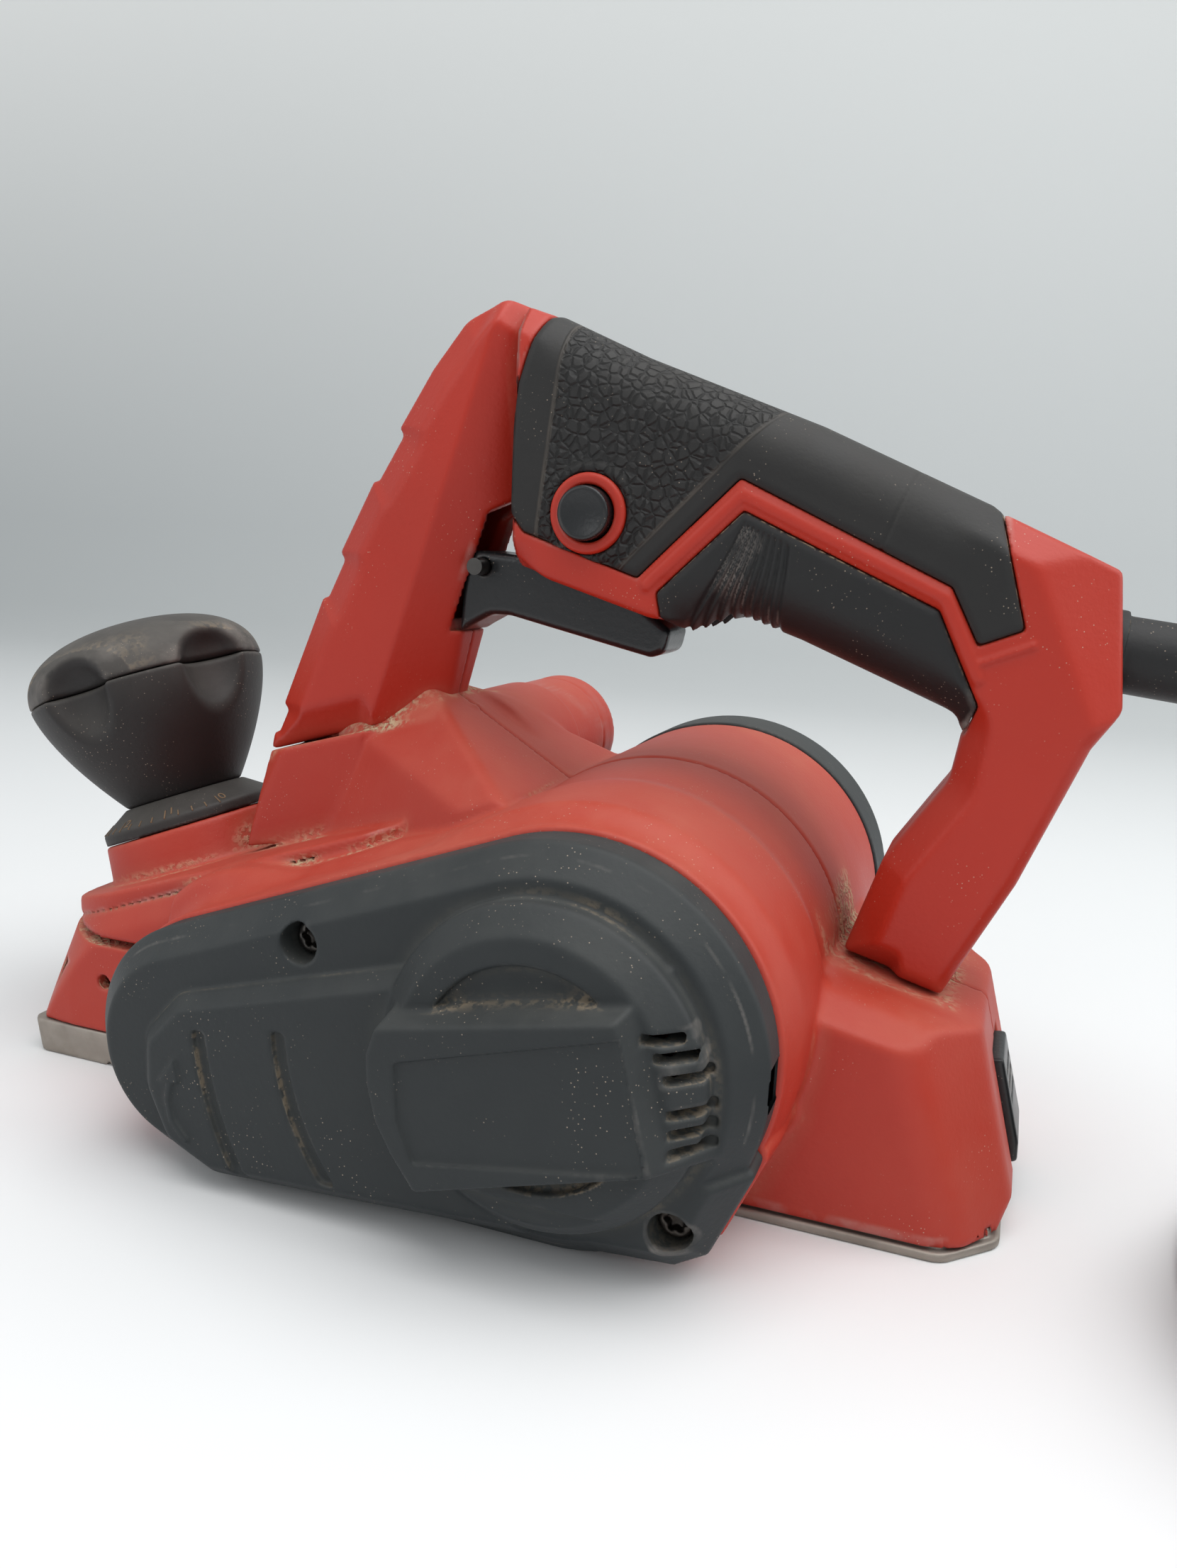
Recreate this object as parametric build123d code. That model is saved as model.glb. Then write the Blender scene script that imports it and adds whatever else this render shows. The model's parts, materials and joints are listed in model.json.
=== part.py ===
from build123d import *
import math
import os

# Electric hand planer. +X points forward to the knob, +Y to the belt side, +Z up.
# The origin is on the plane of the soles, half way across, under the motor axis. Millimetres.

# ---- driving dimensions ----
SOLE_FRONT = 162.0        # front edge of the front sole
SOLE_REAR = -86.0         # rear edge of the rear sole
SOLE_HALF = 41.0          # half of the 82 mm planing width
MOTOR_X, MOTOR_Z = 0.0, 45.0
DRUM_X, DRUM_Z = 88.0, 28.0
CUT_R = 28.0              # cutting circle, just touching the sole plane
MOTOR_R = 45.0            # outside of the motor barrel
STATOR_R = 38.0
WALL = 3.0
BELT_Y = (52.0, 62.0)     # belt box of the left housing half
COVER_Y = (62.0, 83.0)
COVER_R = (42.0, 27.0)    # rear and front radius of the belt cover
SCREW_SEAT = 5.0          # the cover screws' heads rest this far above the cover's foot
MOTOR_PULLEY_R, DRUM_PULLEY_R = 10.0, 16.0
KNOB_TILT = 20.4          # the knob leans forward from the vertical, degrees
KNOB_SEAM = (155.0, 96.3) # X and Z of the knob's widest section
KNOB_R = 31.5
KNOB_FIRST = 22.0         # turn of the first of its five finger hollows, degrees
SHOE_TRAVEL = 2.0
SHOE_FOOT = 9.0           # top of the cast front sole
HANDLE_HALF = 16.0
PAD = 1.6                 # soft grip stands this much proud of the shell
BUTTON_X, BUTTON_Z = 17.0, 147.0
TRIGGER_PIVOT = (47.0, 134.0)
FOOT_PIVOT = (-81.5, 12.0)
BOOT_Z = 122.5
CORD_D = 7.0
COIL_X, COIL_Y = -165.0, 43.7
COIL_RADII = (35.0, 42.0)
COIL_LAYERS = 4
FIT = 0.05                # gap between pieces that sit in one another

os.makedirs("parts", exist_ok=True)


# ---- helpers ----
def prism(points, y0, y1):
    """Outline of (X, Z) points, carried along Y."""
    face = make_face(Polyline(*[(x, y0, z) for x, z in points], close=True))
    return extrude(face, amount=y1 - y0, dir=(0, 1, 0))


def block(x0, x1, y0, y1, z0, z1):
    return Pos((x0 + x1) / 2, (y0 + y1) / 2, (z0 + z1) / 2) * Box(x1 - x0, y1 - y0, z1 - z0)


def rod_y(x, z, r, y0, y1):
    return Pos(x, (y0 + y1) / 2, z) * Rot(90, 0, 0) * Cylinder(r, y1 - y0)


def tube_y(x, z, r_out, r_in, y0, y1):
    return rod_y(x, z, r_out, y0, y1) - rod_y(x, z, r_in, y0 - 1, y1 + 1)


def cone_y(x, z, r0, r1, y0, y1):
    """Frustum along Y: radius r0 at y0 and r1 at y1."""
    return Pos(x, (y0 + y1) / 2, z) * Rot(-90, 0, 0) * Cone(r0, r1, y1 - y0)


def racetrack(r_rear, r_front, y0, y1):
    """Solid round the motor and drum axes, joined by their common tangents."""
    dx, dz = DRUM_X - MOTOR_X, DRUM_Z - MOTOR_Z
    span = math.hypot(dx, dz)
    lean = math.atan2(dz, dx)
    spread = math.acos((r_rear - r_front) / span)
    corners = []
    for cx, cz, r, side in (
        (MOTOR_X, MOTOR_Z, r_rear, 1), (DRUM_X, DRUM_Z, r_front, 1),
        (DRUM_X, DRUM_Z, r_front, -1), (MOTOR_X, MOTOR_Z, r_rear, -1),
    ):
        angle = lean + side * spread
        corners.append((cx + r * math.cos(angle), cz + r * math.sin(angle)))
    return (
        prism(corners, y0, y1)
        + rod_y(MOTOR_X, MOTOR_Z, r_rear, y0, y1)
        + rod_y(DRUM_X, DRUM_Z, r_front, y0, y1)
    )


KNOB_AXIS = (math.sin(math.radians(KNOB_TILT)), 0, math.cos(math.radians(KNOB_TILT)))
KNOB_PLANE = Plane(
    origin=(KNOB_SEAM[0], 0, KNOB_SEAM[1]), z_dir=KNOB_AXIS, x_dir=(KNOB_AXIS[2], 0, -KNOB_AXIS[0])
)


def on_knob(shape, height):
    """Put a shape that is centred on its own origin at a height along the knob's axis."""
    return KNOB_PLANE.location * Pos(0, 0, height) * shape


def knob_rod(r, s0, s1):
    return on_knob(Cylinder(r, s1 - s0), (s0 + s1) / 2)


def knob_cone(r0, r1, s0, s1):
    return on_knob(Cone(r0, r1, s1 - s0), (s0 + s1) / 2)


def write(name, shape):
    export_step(shape, f"parts/{name}.step")


def joined(shapes):
    """Separate solids as one node."""
    solids = [s for shape in shapes for s in shape.solids()]
    return Compound(solids)


def half(shape, side):
    """The left (+1) or right (-1) half of a shape that is split down its middle."""
    y0, y1 = (0, 200) if side > 0 else (-200, 0)
    return shape & block(-300, 300, y0, y1, -50, 300)


# ---- main housing ----
POST_FOOT = [(100, 60), (112, 58), (106, 84), (51, 99.5), (46, 78), (60, 66)]
LEDGE = [(20, 60), (20, 85.5), (46, 77), (167, 37), (167, 35.2), (112, 35.2), (60, 50)]
LEDGE_END_X = 134.0       # the ledge's front end is round about this place
REAR_BLOCK = [(-10, 2.2), (-85, 2.2), (-87.6, 8), (-77.8, 44.6), (-45.6, 52.6), (-10, 52.6)]
SKIRT = 2.2               # the housing's lip hides the upper part of the rear sole's edge
CHIP_X, CHIP_Z = 56.5, 82.5
CHIP_END = -73.0          # open end of the chip outlet


def rear_plan(inset):
    """The rear block's outline from above, with its two cut corners."""
    end, side = -90 + inset, 40.5 - inset
    cut = -75.5 + 1.42 * inset
    slant = side + end - cut
    corners = [(0, -side), (0, side), (cut, side), (end, slant), (end, -slant), (cut, -side)]
    return extrude(make_face(Polyline(*[(x, y, 0) for x, y in corners], close=True)), amount=60)


def rear_section():
    """The rear block's outline from behind, with its two top edges cut."""
    corners = [(-40.5, 0), (40.5, 0), (40.5, 44), (31, 54), (-31, 54), (-40.5, 44)]
    face = make_face(Polyline(*[(-100, y, z) for y, z in corners], close=True))
    return extrude(face, amount=110, dir=(1, 0, 0))


def sole_step(grow=0.0):
    """Upper, smaller part of the rear sole."""
    inset = 2.2 - grow
    front, side, rear, cut = 62 + grow, SOLE_HALF - inset, SOLE_REAR + inset, 11 + 0.4 * inset
    outline = [(front, -side), (front, side), (SOLE_REAR + cut, side), (rear, SOLE_HALF - cut),
               (rear, -SOLE_HALF + cut), (SOLE_REAR + cut, -side)]
    return extrude(make_face(Polyline(*[(x, y, 0) for x, y in outline], close=True)), amount=4 + grow)


def housing_outer():
    body = prism(REAR_BLOCK, -40, 40) & rear_plan(0) & rear_section()
    body += prism(LEDGE, -38, 38) & (
        block(0, LEDGE_END_X, -40, 40, 0, 100) + Pos(LEDGE_END_X, 0, 50) * Cylinder(38, 100))
    body += prism([(0, 8), (0, 80), (60, 70), (104, 52), (110, 35), (106, 4.2)], -42, 42)
    body += rod_y(MOTOR_X, MOTOR_Z, MOTOR_R, -60, 0)
    body += cone_y(MOTOR_X, MOTOR_Z, MOTOR_R, COVER_R[0], 0, BELT_Y[1])
    body += racetrack(COVER_R[0], COVER_R[1], 40, BELT_Y[1])
    body += prism(POST_FOOT, -20, 20)
    body += rod_y(DRUM_X, DRUM_Z, 17, -52, -40) + rod_y(DRUM_X, DRUM_Z, 33, -46.5, -30)
    body += rod_y(CHIP_X, CHIP_Z, 18, -42, -HANDLE_HALF - 1)
    body += knob_rod(24.5, -54, -41.5)
    floor_cut = block(-300, 300, -100, 100, -20, SKIRT) + sole_step(0.2) + block(60, 300, -100, 100, -20, 4.2)
    floor_cut -= block(-300, 300, SOLE_HALF + 0.1, 100, -20, 10)
    return body - floor_cut


def housing_hollows():
    """Everything that is taken out of the housing for what it holds."""
    cuts = rod_y(MOTOR_X, MOTOR_Z, MOTOR_R - WALL, -61, -34)
    cuts += rod_y(MOTOR_X, MOTOR_Z, STATOR_R + FIT, -35, 15)
    cuts += rod_y(MOTOR_X, MOTOR_Z, MOTOR_R - WALL, 14.2, 42)
    cuts += rod_y(MOTOR_X, MOTOR_Z, 11 + FIT, 41, 53)
    cuts += racetrack(COVER_R[0] - WALL, COVER_R[1] - WALL, BELT_Y[0], BELT_Y[1] + 1)
    cuts += rod_y(DRUM_X, DRUM_Z, CUT_R + 2.5, -42.5, 42.5)
    cuts += rod_y(DRUM_X, DRUM_Z, 13 + FIT, -50, 54)
    cuts += block(DRUM_X - 22, 112, -38, 38, -1, DRUM_Z)
    cuts += rod_y(CHIP_X, CHIP_Z, 15, -60, -HANDLE_HALF - 3)
    cuts += prism([(49, 66), (66, 64), (92, 50), (72, 44)], -35, 30)
    cuts += prism([(46, 62), (68, 62), (66, 76), (46, 76)], -35, -HANDLE_HALF - 3)
    cuts += prism([(-28, 5), (-80, 5), (-82, 9), (-73, 40), (-44, 46)], -37, 37) & rear_plan(3.4)
    cuts += knob_rod(7.5, -80, -40)
    cuts += prism([(56, 84), (62, 96.5), (96, 86), (104, 66), (98, 62)], -16, 16)
    return cuts


def make_housing():
    whole = housing_outer() - housing_hollows()
    whole -= shoe_space()
    for x, z in HOUSING_SCREWS:
        whole -= rod_y(x, z, 2.1, -41, -36)
    for x, z in COVER_SCREWS:
        whole += rod_y(x, z, 4.5, BELT_Y[0] - 2, BELT_Y[1])
        whole -= rod_y(x, z, 1.9, BELT_Y[0] - 1, BELT_Y[1] + 1)
    whole -= foot_space()
    whole -= rod_y(*FOOT_PIVOT, 1.5 + FIT, -13.1, 13.1)
    for side, name in ((1, "housing_left"), (-1, "housing_right")):
        write(name, half(whole, side))
    screws = [rod_y(x, z, 2, -40, -26) + rod_y(x, z, 3.4, -41.8, -40.05) for x, z in HOUSING_SCREWS]
    write("housing_screws", joined(screws))


HOUSING_SCREWS = [(-62, 38), (-66, 14)]
COVER_SCREWS = [(54.0, 58.5), (-27.0, 14.5)]


def shoe_space():
    """Room for the front shoe over its whole travel."""
    return block(110.5, 170, -SOLE_HALF - 0.3, SOLE_HALF + 0.3, -5, 35.2)


def foot_space():
    return block(-95, -73, -9.5, 9.5, -5, 34)


# ---- soles and front shoe ----
def make_rear_sole():
    outline = [(62, -SOLE_HALF), (62, SOLE_HALF), (SOLE_REAR + 11, SOLE_HALF),
               (SOLE_REAR, SOLE_HALF - 11), (SOLE_REAR, -SOLE_HALF + 11), (SOLE_REAR + 11, -SOLE_HALF)]
    plate = extrude(make_face(Polyline(*[(x, y, 0) for x, y in outline], close=True)), amount=2) + sole_step()
    plate -= block(SOLE_REAR - 1, SOLE_REAR + 9, -9.5, 9.5, -1, 5)
    for y in (-14, 14):
        plate -= block(-60, 40, y - 1, y + 1, -1, 1)
    write("rear_sole", plate)


def make_front_shoe():
    plate = block(112, SOLE_FRONT, -SOLE_HALF, SOLE_HALF, 0, SHOE_FOOT)
    plate -= prism([(136, -1), (137, 1.2), (138, -1)], -50, 50)
    plate -= prism([(SOLE_FRONT - 2, -0.1), (SOLE_FRONT + 1, 3), (SOLE_FRONT + 1, -0.1)], -50, 50)
    write("front_sole", plate)
    top = SHOE_FOOT + 24.2
    shell = prism([(112, SHOE_FOOT), (160.5, SHOE_FOOT), (161, top), (112, top)], -SOLE_HALF, SOLE_HALF)
    section = [(-SOLE_HALF, 0), (SOLE_HALF, 0), (SOLE_HALF, 28), (38.4, top), (-38.4, top), (-SOLE_HALF, 28)]
    face = make_face(Polyline(*[(100, y, z) for y, z in section], close=True))
    shell &= extrude(face, amount=70, dir=(1, 0, 0))
    shell -= block(115, 157, -SOLE_HALF + WALL, SOLE_HALF - WALL, 7, 24)
    shell += block(116, 134, -10, 10, SHOE_FOOT, 26)
    shell -= knob_rod(5, -110, -40)
    shell -= rod_y(DRUM_X, DRUM_Z, CUT_R + 2.5, -50, 50)
    write("front_shoe", shell)


# ---- depth knob ----
def make_knob():
    lower = knob_cone(16, KNOB_R, -33, -4) + knob_rod(KNOB_R, -4, 0)
    recess = [on_knob(Rot(0, 0, KNOB_FIRST + turn) * Pos(KNOB_R + 8, 0, 0) * Cylinder(13, 30), -2)
              for turn in range(0, 360, 72)]
    cap = knob_rod(KNOB_R, 0.2, 5) + knob_cone(KNOB_R, 19, 5, 19)
    for cut in recess:
        lower -= cut
        cap -= cut
    lower -= knob_rod(4 + FIT, -34, -12)
    ring = knob_cone(24, 17, -40.5, -33.2) - knob_rod(4 + FIT, -41, -33)
    write("knob_body", lower)
    write("knob_cap", cap)
    write("depth_scale_ring", ring)
    write("depth_spindle", knob_rod(4, -74, -12.2) + knob_rod(6.5, -47, -41))
    spring = [on_knob(Torus(6.4, 0.55), -60 + 2.4 * i) for i in range(5)]
    write("shoe_spring", joined(spring))


# ---- cutter drum ----
def make_drum():
    drum = rod_y(DRUM_X, DRUM_Z, 24, -41, 41) + rod_y(DRUM_X, DRUM_Z, 5, -50, 67)
    slot = block(-7, 7, -42, 42, 12, 30)
    blades, clamps, screws = [], [], []
    for turn in (90, 270):
        place = Pos(DRUM_X, 0, DRUM_Z) * Rot(0, turn, 0)
        drum -= place * slot
        blades.append(place * block(-0.6, 0.6, -41, 41, 20, CUT_R - 0.2))
        clamps.append(place * block(0.65, 6.8, -40, 40, 12.2, 23.4))
        clamps.append(place * block(-6.8, -0.65, -40, 40, 12.2, 23.4))
        for y in (-26, 0, 26):
            screws.append(place * (Pos(3.6, y, 24.4) * Cylinder(2.4, 1.8)))
    write("cutter_drum", drum)
    write("planer_blades", joined(blades))
    write("blade_clamps", joined(clamps))
    write("blade_clamp_screws", joined(screws))
    rings = [tube_y(DRUM_X, DRUM_Z, 13, 5 + FIT, y, y + 6.5) for y in (-49.5, 43.5)]
    write("drum_bearings", joined(rings))


# ---- belt drive ----
def make_belt_drive():
    for name, x, z, r in (("motor_pulley", MOTOR_X, MOTOR_Z, MOTOR_PULLEY_R),
                          ("drum_pulley", DRUM_X, DRUM_Z, DRUM_PULLEY_R)):
        wheel = rod_y(x, z, r, 56, 66) + rod_y(x, z, r + 2.6, 54.8, 56)
        count = round(r * 2)
        for i in range(count):
            a = 2 * math.pi * i / count
            wheel -= rod_y(x + r * math.cos(a), z + r * math.sin(a), 0.7, 56, 67)
        write(name, wheel - rod_y(x, z, 5 + FIT, 50, 70))
    belt = racetrack(MOTOR_PULLEY_R + 2.5, DRUM_PULLEY_R + 2.5, 56.4, 65.6)
    belt -= racetrack(MOTOR_PULLEY_R + 0.3, DRUM_PULLEY_R + 0.3, 56, 66)
    write("drive_belt", belt)


def make_belt_cover():
    y0, y1 = COVER_Y
    shell = racetrack(COVER_R[0], COVER_R[1], y0, y0 + 12)
    shell += racetrack(COVER_R[0] - 5, COVER_R[1] - 5, y0 + 12, y1 - 3)
    shell += cone_y(MOTOR_X, MOTOR_Z, 33, 31, y1 - 3, y1 + 3)
    shell -= racetrack(COVER_R[0] - WALL, COVER_R[1] - WALL, y0 - 1, y0 + 9.5)
    shell -= racetrack(COVER_R[0] - 8, COVER_R[1] - 8, y0 - 1, y1 - 5.5)
    plate = [(-33, 37), (-19, 62), (30, 51), (25, 26), (16, 17), (-27, 31)]
    shell += prism(plate, y1 + 3, y1 + 8)
    for i in range(6):
        z = 37.5 + 3.4 * i + (2 if i > 2 else 0)
        shell -= block(-36, -24, y1 - 1, y1 + 9, z, z + 1.8)
    for x, z in COVER_SCREWS:
        shell += rod_y(x, z, 6, y0, y0 + 12)
        shell -= rod_y(x, z, 4.6, y0 + SCREW_SEAT, y1 + 1)
        shell -= rod_y(x, z, 1.9, y0 - 1, y0 + SCREW_SEAT + 1)
    seat = y0 + SCREW_SEAT + FIT
    screws = [rod_y(x, z, 1.8, BELT_Y[0], seat) + rod_y(x, z, 3.6, seat, seat + 4)
              for x, z in COVER_SCREWS]
    write("belt_cover", shell)
    write("cover_screws", joined(screws))


# ---- motor ----
def make_motor():
    x, z = MOTOR_X, MOTOR_Z
    write("motor_shaft", rod_y(x, z, 5, -70.9, 67))
    armature = tube_y(x, z, 22.5, 5 + FIT, -34, 14)
    for i in range(12):
        a = math.radians(30 * i)
        armature -= rod_y(x + 22 * math.cos(a), z + 22 * math.sin(a), 1.4, -35, 15)
    write("armature", armature)
    write("commutator", tube_y(x, z, 13, 5 + FIT, -56, -40))
    fan = tube_y(x, z, 12, 5 + FIT, 22, 34) + tube_y(x, z, 36, 11, 22, 24)
    for i in range(12):
        blade = block(11, 35, -0.8, 0.8, 0, 9)
        fan += Pos(x, 33, z) * Rot(90, 0, 0) * Rot(0, 0, 30 * i) * blade
    write("cooling_fan", fan)
    stator = tube_y(x, z, STATOR_R, 23.5, -34, 14)
    for side in (-1, 1):
        stator -= block(x - 16, x + 16, -40, 20, z + side * 31 - 3, z + side * 31 + 3)
    write("stator", stator)
    rings = [tube_y(x, z, 11, 5 + FIT, y, y + 7) for y in (-70, 43.5)]
    write("motor_bearings", joined(rings))
    holders, brushes = [], []
    for side in (-1, 1):
        outer = block(13.6, 33, -53, -43, -5, 5) - block(13, 34, -51.2, -44.8, -3.2, 3.2)
        place = Pos(x, 0, z) * Rot(0, 0 if side > 0 else 180, 0)
        holders.append(place * outer)
        brushes.append(place * block(13.3, 27, -51, -45, -3, 3))
    write("brush_holders", joined(holders))
    write("carbon_brushes", joined(brushes))


def make_end_cap():
    x, z = MOTOR_X, MOTOR_Z
    cap = rod_y(x, z, MOTOR_R + 1, -77.5, -60) + cone_y(x, z, MOTOR_R - 0.5, MOTOR_R + 1, -79, -77.5)
    cap -= rod_y(x, z, MOTOR_R - WALL - 1, -75, -59)
    cap += tube_y(x, z, 15, 11 + FIT, -76, -62)
    for i in range(-4, 5):
        cap -= block(x + 6 * i - 1.3, x + 6 * i + 1.3, -80, -72, z + 18, z + 30)
    cap &= block(-100, 100, -100, 0, 4.2, 200)
    write("motor_end_cap", cap)


def make_chip_outlet():
    tube = tube_y(CHIP_X, CHIP_Z, 17.2, 15, CHIP_END, -42 - FIT)
    write("chip_outlet", tube)


# ---- handle ----
HANDLE = [
    (106, 84), (84.3, 135.5), (59.6, 179), (51, 189), (41, 194), (31, 190.5), (8, 181), (-32, 166.5),
    (-68, 151), (-94, 139.5), (-97, 112), (-92, 104), (-81, 74), (-68.3, 47.0), (-46.3, 52.8), (-49, 62),
    (-53, 75), (-65, 94), (-67, 108), (-31, 122), (-17, 126.5), (-7, 121.5), (3, 125), (44, 137),
    (50.5, 128), (57.5, 97.8),
]
GRIP_HOLLOW = [(40, 184), (8, 176), (-66, 147), (-91, 134), (-92, 113), (-70, 114), (-18, 132),
               (44, 145)]
FRONT_HOLLOW = [(100, 88), (80.5, 134), (56, 177.5), (40, 184), (44, 145), (55, 129), (61.5, 99.5)]
REAR_HOLLOW = [(-92, 113), (-87, 100), (-76, 72), (-67, 50.0), (-50, 54.5), (-53, 64), (-57, 77),
               (-69, 96), (-70, 114)]


def handle_outer(grow=0.0):
    """Closed handle loop. Grow widens it for the soft pads' outer surface."""
    return prism(HANDLE, -HANDLE_HALF - grow, HANDLE_HALF + grow)


def trigger_space():
    return prism([(55, 142), (56, 118), (36, 118), (-12, 108), (-16, 131), (40, 150)], -8.5, 8.5)


def make_handle():
    whole = handle_outer()
    for hollow in (GRIP_HOLLOW, FRONT_HOLLOW, REAR_HOLLOW):
        whole -= prism(hollow, -HANDLE_HALF + WALL, HANDLE_HALF - WALL)
    whole -= trigger_space()
    whole -= rod_y(*TRIGGER_PIVOT, 2 + FIT, -14, 14)
    whole -= rod_y(BUTTON_X, BUTTON_Z, 9, 8, 30)
    whole -= Pos(-94, 0, BOOT_Z) * Rot(0, 90, 0) * Cylinder(9.05, 14)
    for x, z in HANDLE_SCREWS:
        whole -= rod_y(x, z, 2, -30, 10)
        whole -= rod_y(x, z, 3.6, -30, -12.5)
    write("handle_left", half(whole, 1))
    write("handle_right", half(whole, -1))
    screws = [rod_y(x, z, 1.9, -12.4, -1) + rod_y(x, z, 3.4, -15, -12.6) for x, z in HANDLE_SCREWS]
    write("handle_screws", joined(screws))


HANDLE_SCREWS = [(93, 96), (50, 186.0), (-80, 139.0), (-59.5, 62)]

UPPER_PAD = [(28, 195), (36, 176), (38, 150), (33, 143), (6, 134), (-16, 155), (-62, 134),
             (-68, 124), (-77, 128), (-66, 158)]
LOWER_PAD = [(1, 130), (-18, 149), (-61, 130), (-69, 112), (-66.5, 104), (-31, 118), (-17, 122.5),
             (-7, 117)]
UPPER_SKIN = [(60, 100), (60, 185), (30, 192), (8, 182.6), (-32, 168.1), (-80, 147.5), (-80, 100)]
LOWER_SKIN = [(-67, 108 - PAD), (-31, 122 - PAD), (-17, 126.5 - PAD), (-7, 121.5 - PAD), (1, 125),
              (1, 170), (-70, 170), (-70, 107)]


def make_pads():
    y1 = HANDLE_HALF + PAD
    core = handle_outer()
    under_skin = prism(LOWER_SKIN, -y1, y1)
    upper = (prism(UPPER_PAD, -y1, y1) & prism(UPPER_SKIN, -y1, y1)) - core
    lower = (prism(LOWER_PAD, -y1, y1) & under_skin) - core
    for pad, name in ((upper, "upper"), (lower, "lower")):
        pad -= rod_y(BUTTON_X, BUTTON_Z, 9.05, 8, 30)
        pad -= trigger_space()
        for side, word in ((1, "left"), (-1, "right")):
            write(f"grip_pad_{name}_{word}", half(pad, side))


def make_trigger_group():
    px, pz = TRIGGER_PIVOT
    profile = [(52, 138), (53, 120), (50, 118.5), (40, 122.5), (4, 115), (-1.5, 116.5), (-2.5, 121.5),
               (8, 128), (38, 137)]
    trigger = prism(profile, -8, 8) - rod_y(px, pz, 2 + FIT, -9, 9)
    write("trigger", trigger)
    write("trigger_pin", rod_y(px, pz, 2, -12.9, 12.9))
    write("switch_module", block(2, 34, -9, 6.5, 143.5, 166) + block(10, 20, -4, 4, 139.5, 143.5))
    coil = [Pos(24, 0, 137.2 + 1.5 * i) * Torus(2.6, 0.5) for i in range(4)]
    write("trigger_spring", joined(coil))
    write("lock_button", rod_y(BUTTON_X, BUTTON_Z, 6, 12.5, 21.5) + rod_y(BUTTON_X, BUTTON_Z, 7.2, 11, 12.5))
    write("button_ring", tube_y(BUTTON_X, BUTTON_Z, 8.95, 6.3, 14, 18.6))


# ---- parking foot ----
def make_foot():
    x, z = FOOT_PIVOT
    leg = prism([(-88.2, 9.5), (-88, 14), (-82.9, 33), (-79, 32.4), (-78.5, 12), (-84, 8)], -9, 9)
    leg -= rod_y(x, z, 1.5 + FIT, -10, 10)
    write("parking_foot", leg)
    write("foot_pin", rod_y(x, z, 1.5, -13, 13))


# ---- cord ----
ROUTE = [(-139, 0, 117.9), (-159, 0, 115.7), (-177, -6.6, 105.5), (-190, -12.6, 88.6),
         (-201, -12.6, 65), (-206.3, -3.5, 43.4), (-207.5, 9.8, 31.4), (-207, 26.7, 25.2),
         (-207, 43.7, 24.5)]
TAIL = [(-123, 43.7, 3.5), (-123, 22, 3.5), (-128, 1, 3.9), (-141, -16, 6), (-160, -25, 9.5),
        (-176, -27, 12)]


def cord_tube(points, label):
    radii = []
    for before, corner, after in zip(points, points[1:], points[2:]):
        a = Vector(*corner) - Vector(*before)
        b = Vector(*after) - Vector(*corner)
        radii.append(0.45 * min(a.length, b.length) / math.tan(math.radians(a.get_angle(b)) / 2))
    path = FilletPolyline(*points, radius=radii)
    start = Vector(*points[1]) - Vector(*points[0])
    section = Plane(origin=points[0], z_dir=start) * Circle(CORD_D / 2)
    tube = sweep(section, path=path)
    print(label, "radii", [round(r, 1) for r in radii], "length", round(path.length, 1),
          "volume ratio", round(tube.volume / (math.pi * CORD_D**2 / 4 * path.length), 4))
    return tube


def make_cord():
    boot_plane = Plane(origin=(-97, 0, BOOT_Z), z_dir=(-1, 0, -0.11))
    place = boot_plane.location
    boot = place * Pos(0, 0, 8) * Cylinder(8, 16) + place * Pos(0, 0, 29.12) * Cone(8, 5.5, 26.24)
    boot -= place * Pos(0, 0, 30) * Cylinder(CORD_D / 2, 80)
    boot += Pos(-94, 0, BOOT_Z) * Rot(0, 90, 0) * (Cylinder(9, 5) - Cylinder(CORD_D / 2, 6))
    write("cable_boot", boot)
    write("cord_tube", cord_tube(ROUTE, "cord"))
    write("cord_tail", cord_tube(TAIL, "tail"))
    top = COIL_LAYERS * CORD_D
    r_out, r_in = COIL_RADII[1] + CORD_D / 2, COIL_RADII[0] - CORD_D / 2
    coil = Cylinder(r_out, top) - Cylinder(r_in, top + 2)
    write("cord_coil", Pos(COIL_X, COIL_Y, top / 2) * coil)
    tie = block(-4, 4, -9, 9, 0, top + 1) - block(-5, 5, -7.8, 7.8, -1, top + 0.05)
    write("cord_tie", Pos(COIL_X, COIL_Y + COIL_RADII[1] - 3.8, 0) * tie)
    px, py, pz = TAIL[-1]
    body = block(px - 38, px - 6, py - 18, py + 18, 2, 22)
    neck = Pos(px - 3, py, pz) * Rot(0, 90, 0) * Cylinder(6, 6)
    write("plug", body + neck)
    pins = [Pos(px - 38 - 9.5, py + s * 9.5, 12) * Rot(0, 90, 0) * Cylinder(2.4, 19) for s in (-1, 1)]
    write("plug_pins", joined(pins))


make_housing()
make_rear_sole()
make_front_shoe()
make_knob()
make_drum()
make_belt_drive()
make_belt_cover()
make_motor()
make_end_cap()
make_chip_outlet()
make_handle()
make_pads()
make_trigger_group()
make_foot()
make_cord()
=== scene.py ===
import json
import math

import bpy
import numpy as np
from mathutils import Matrix, Vector


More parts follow.
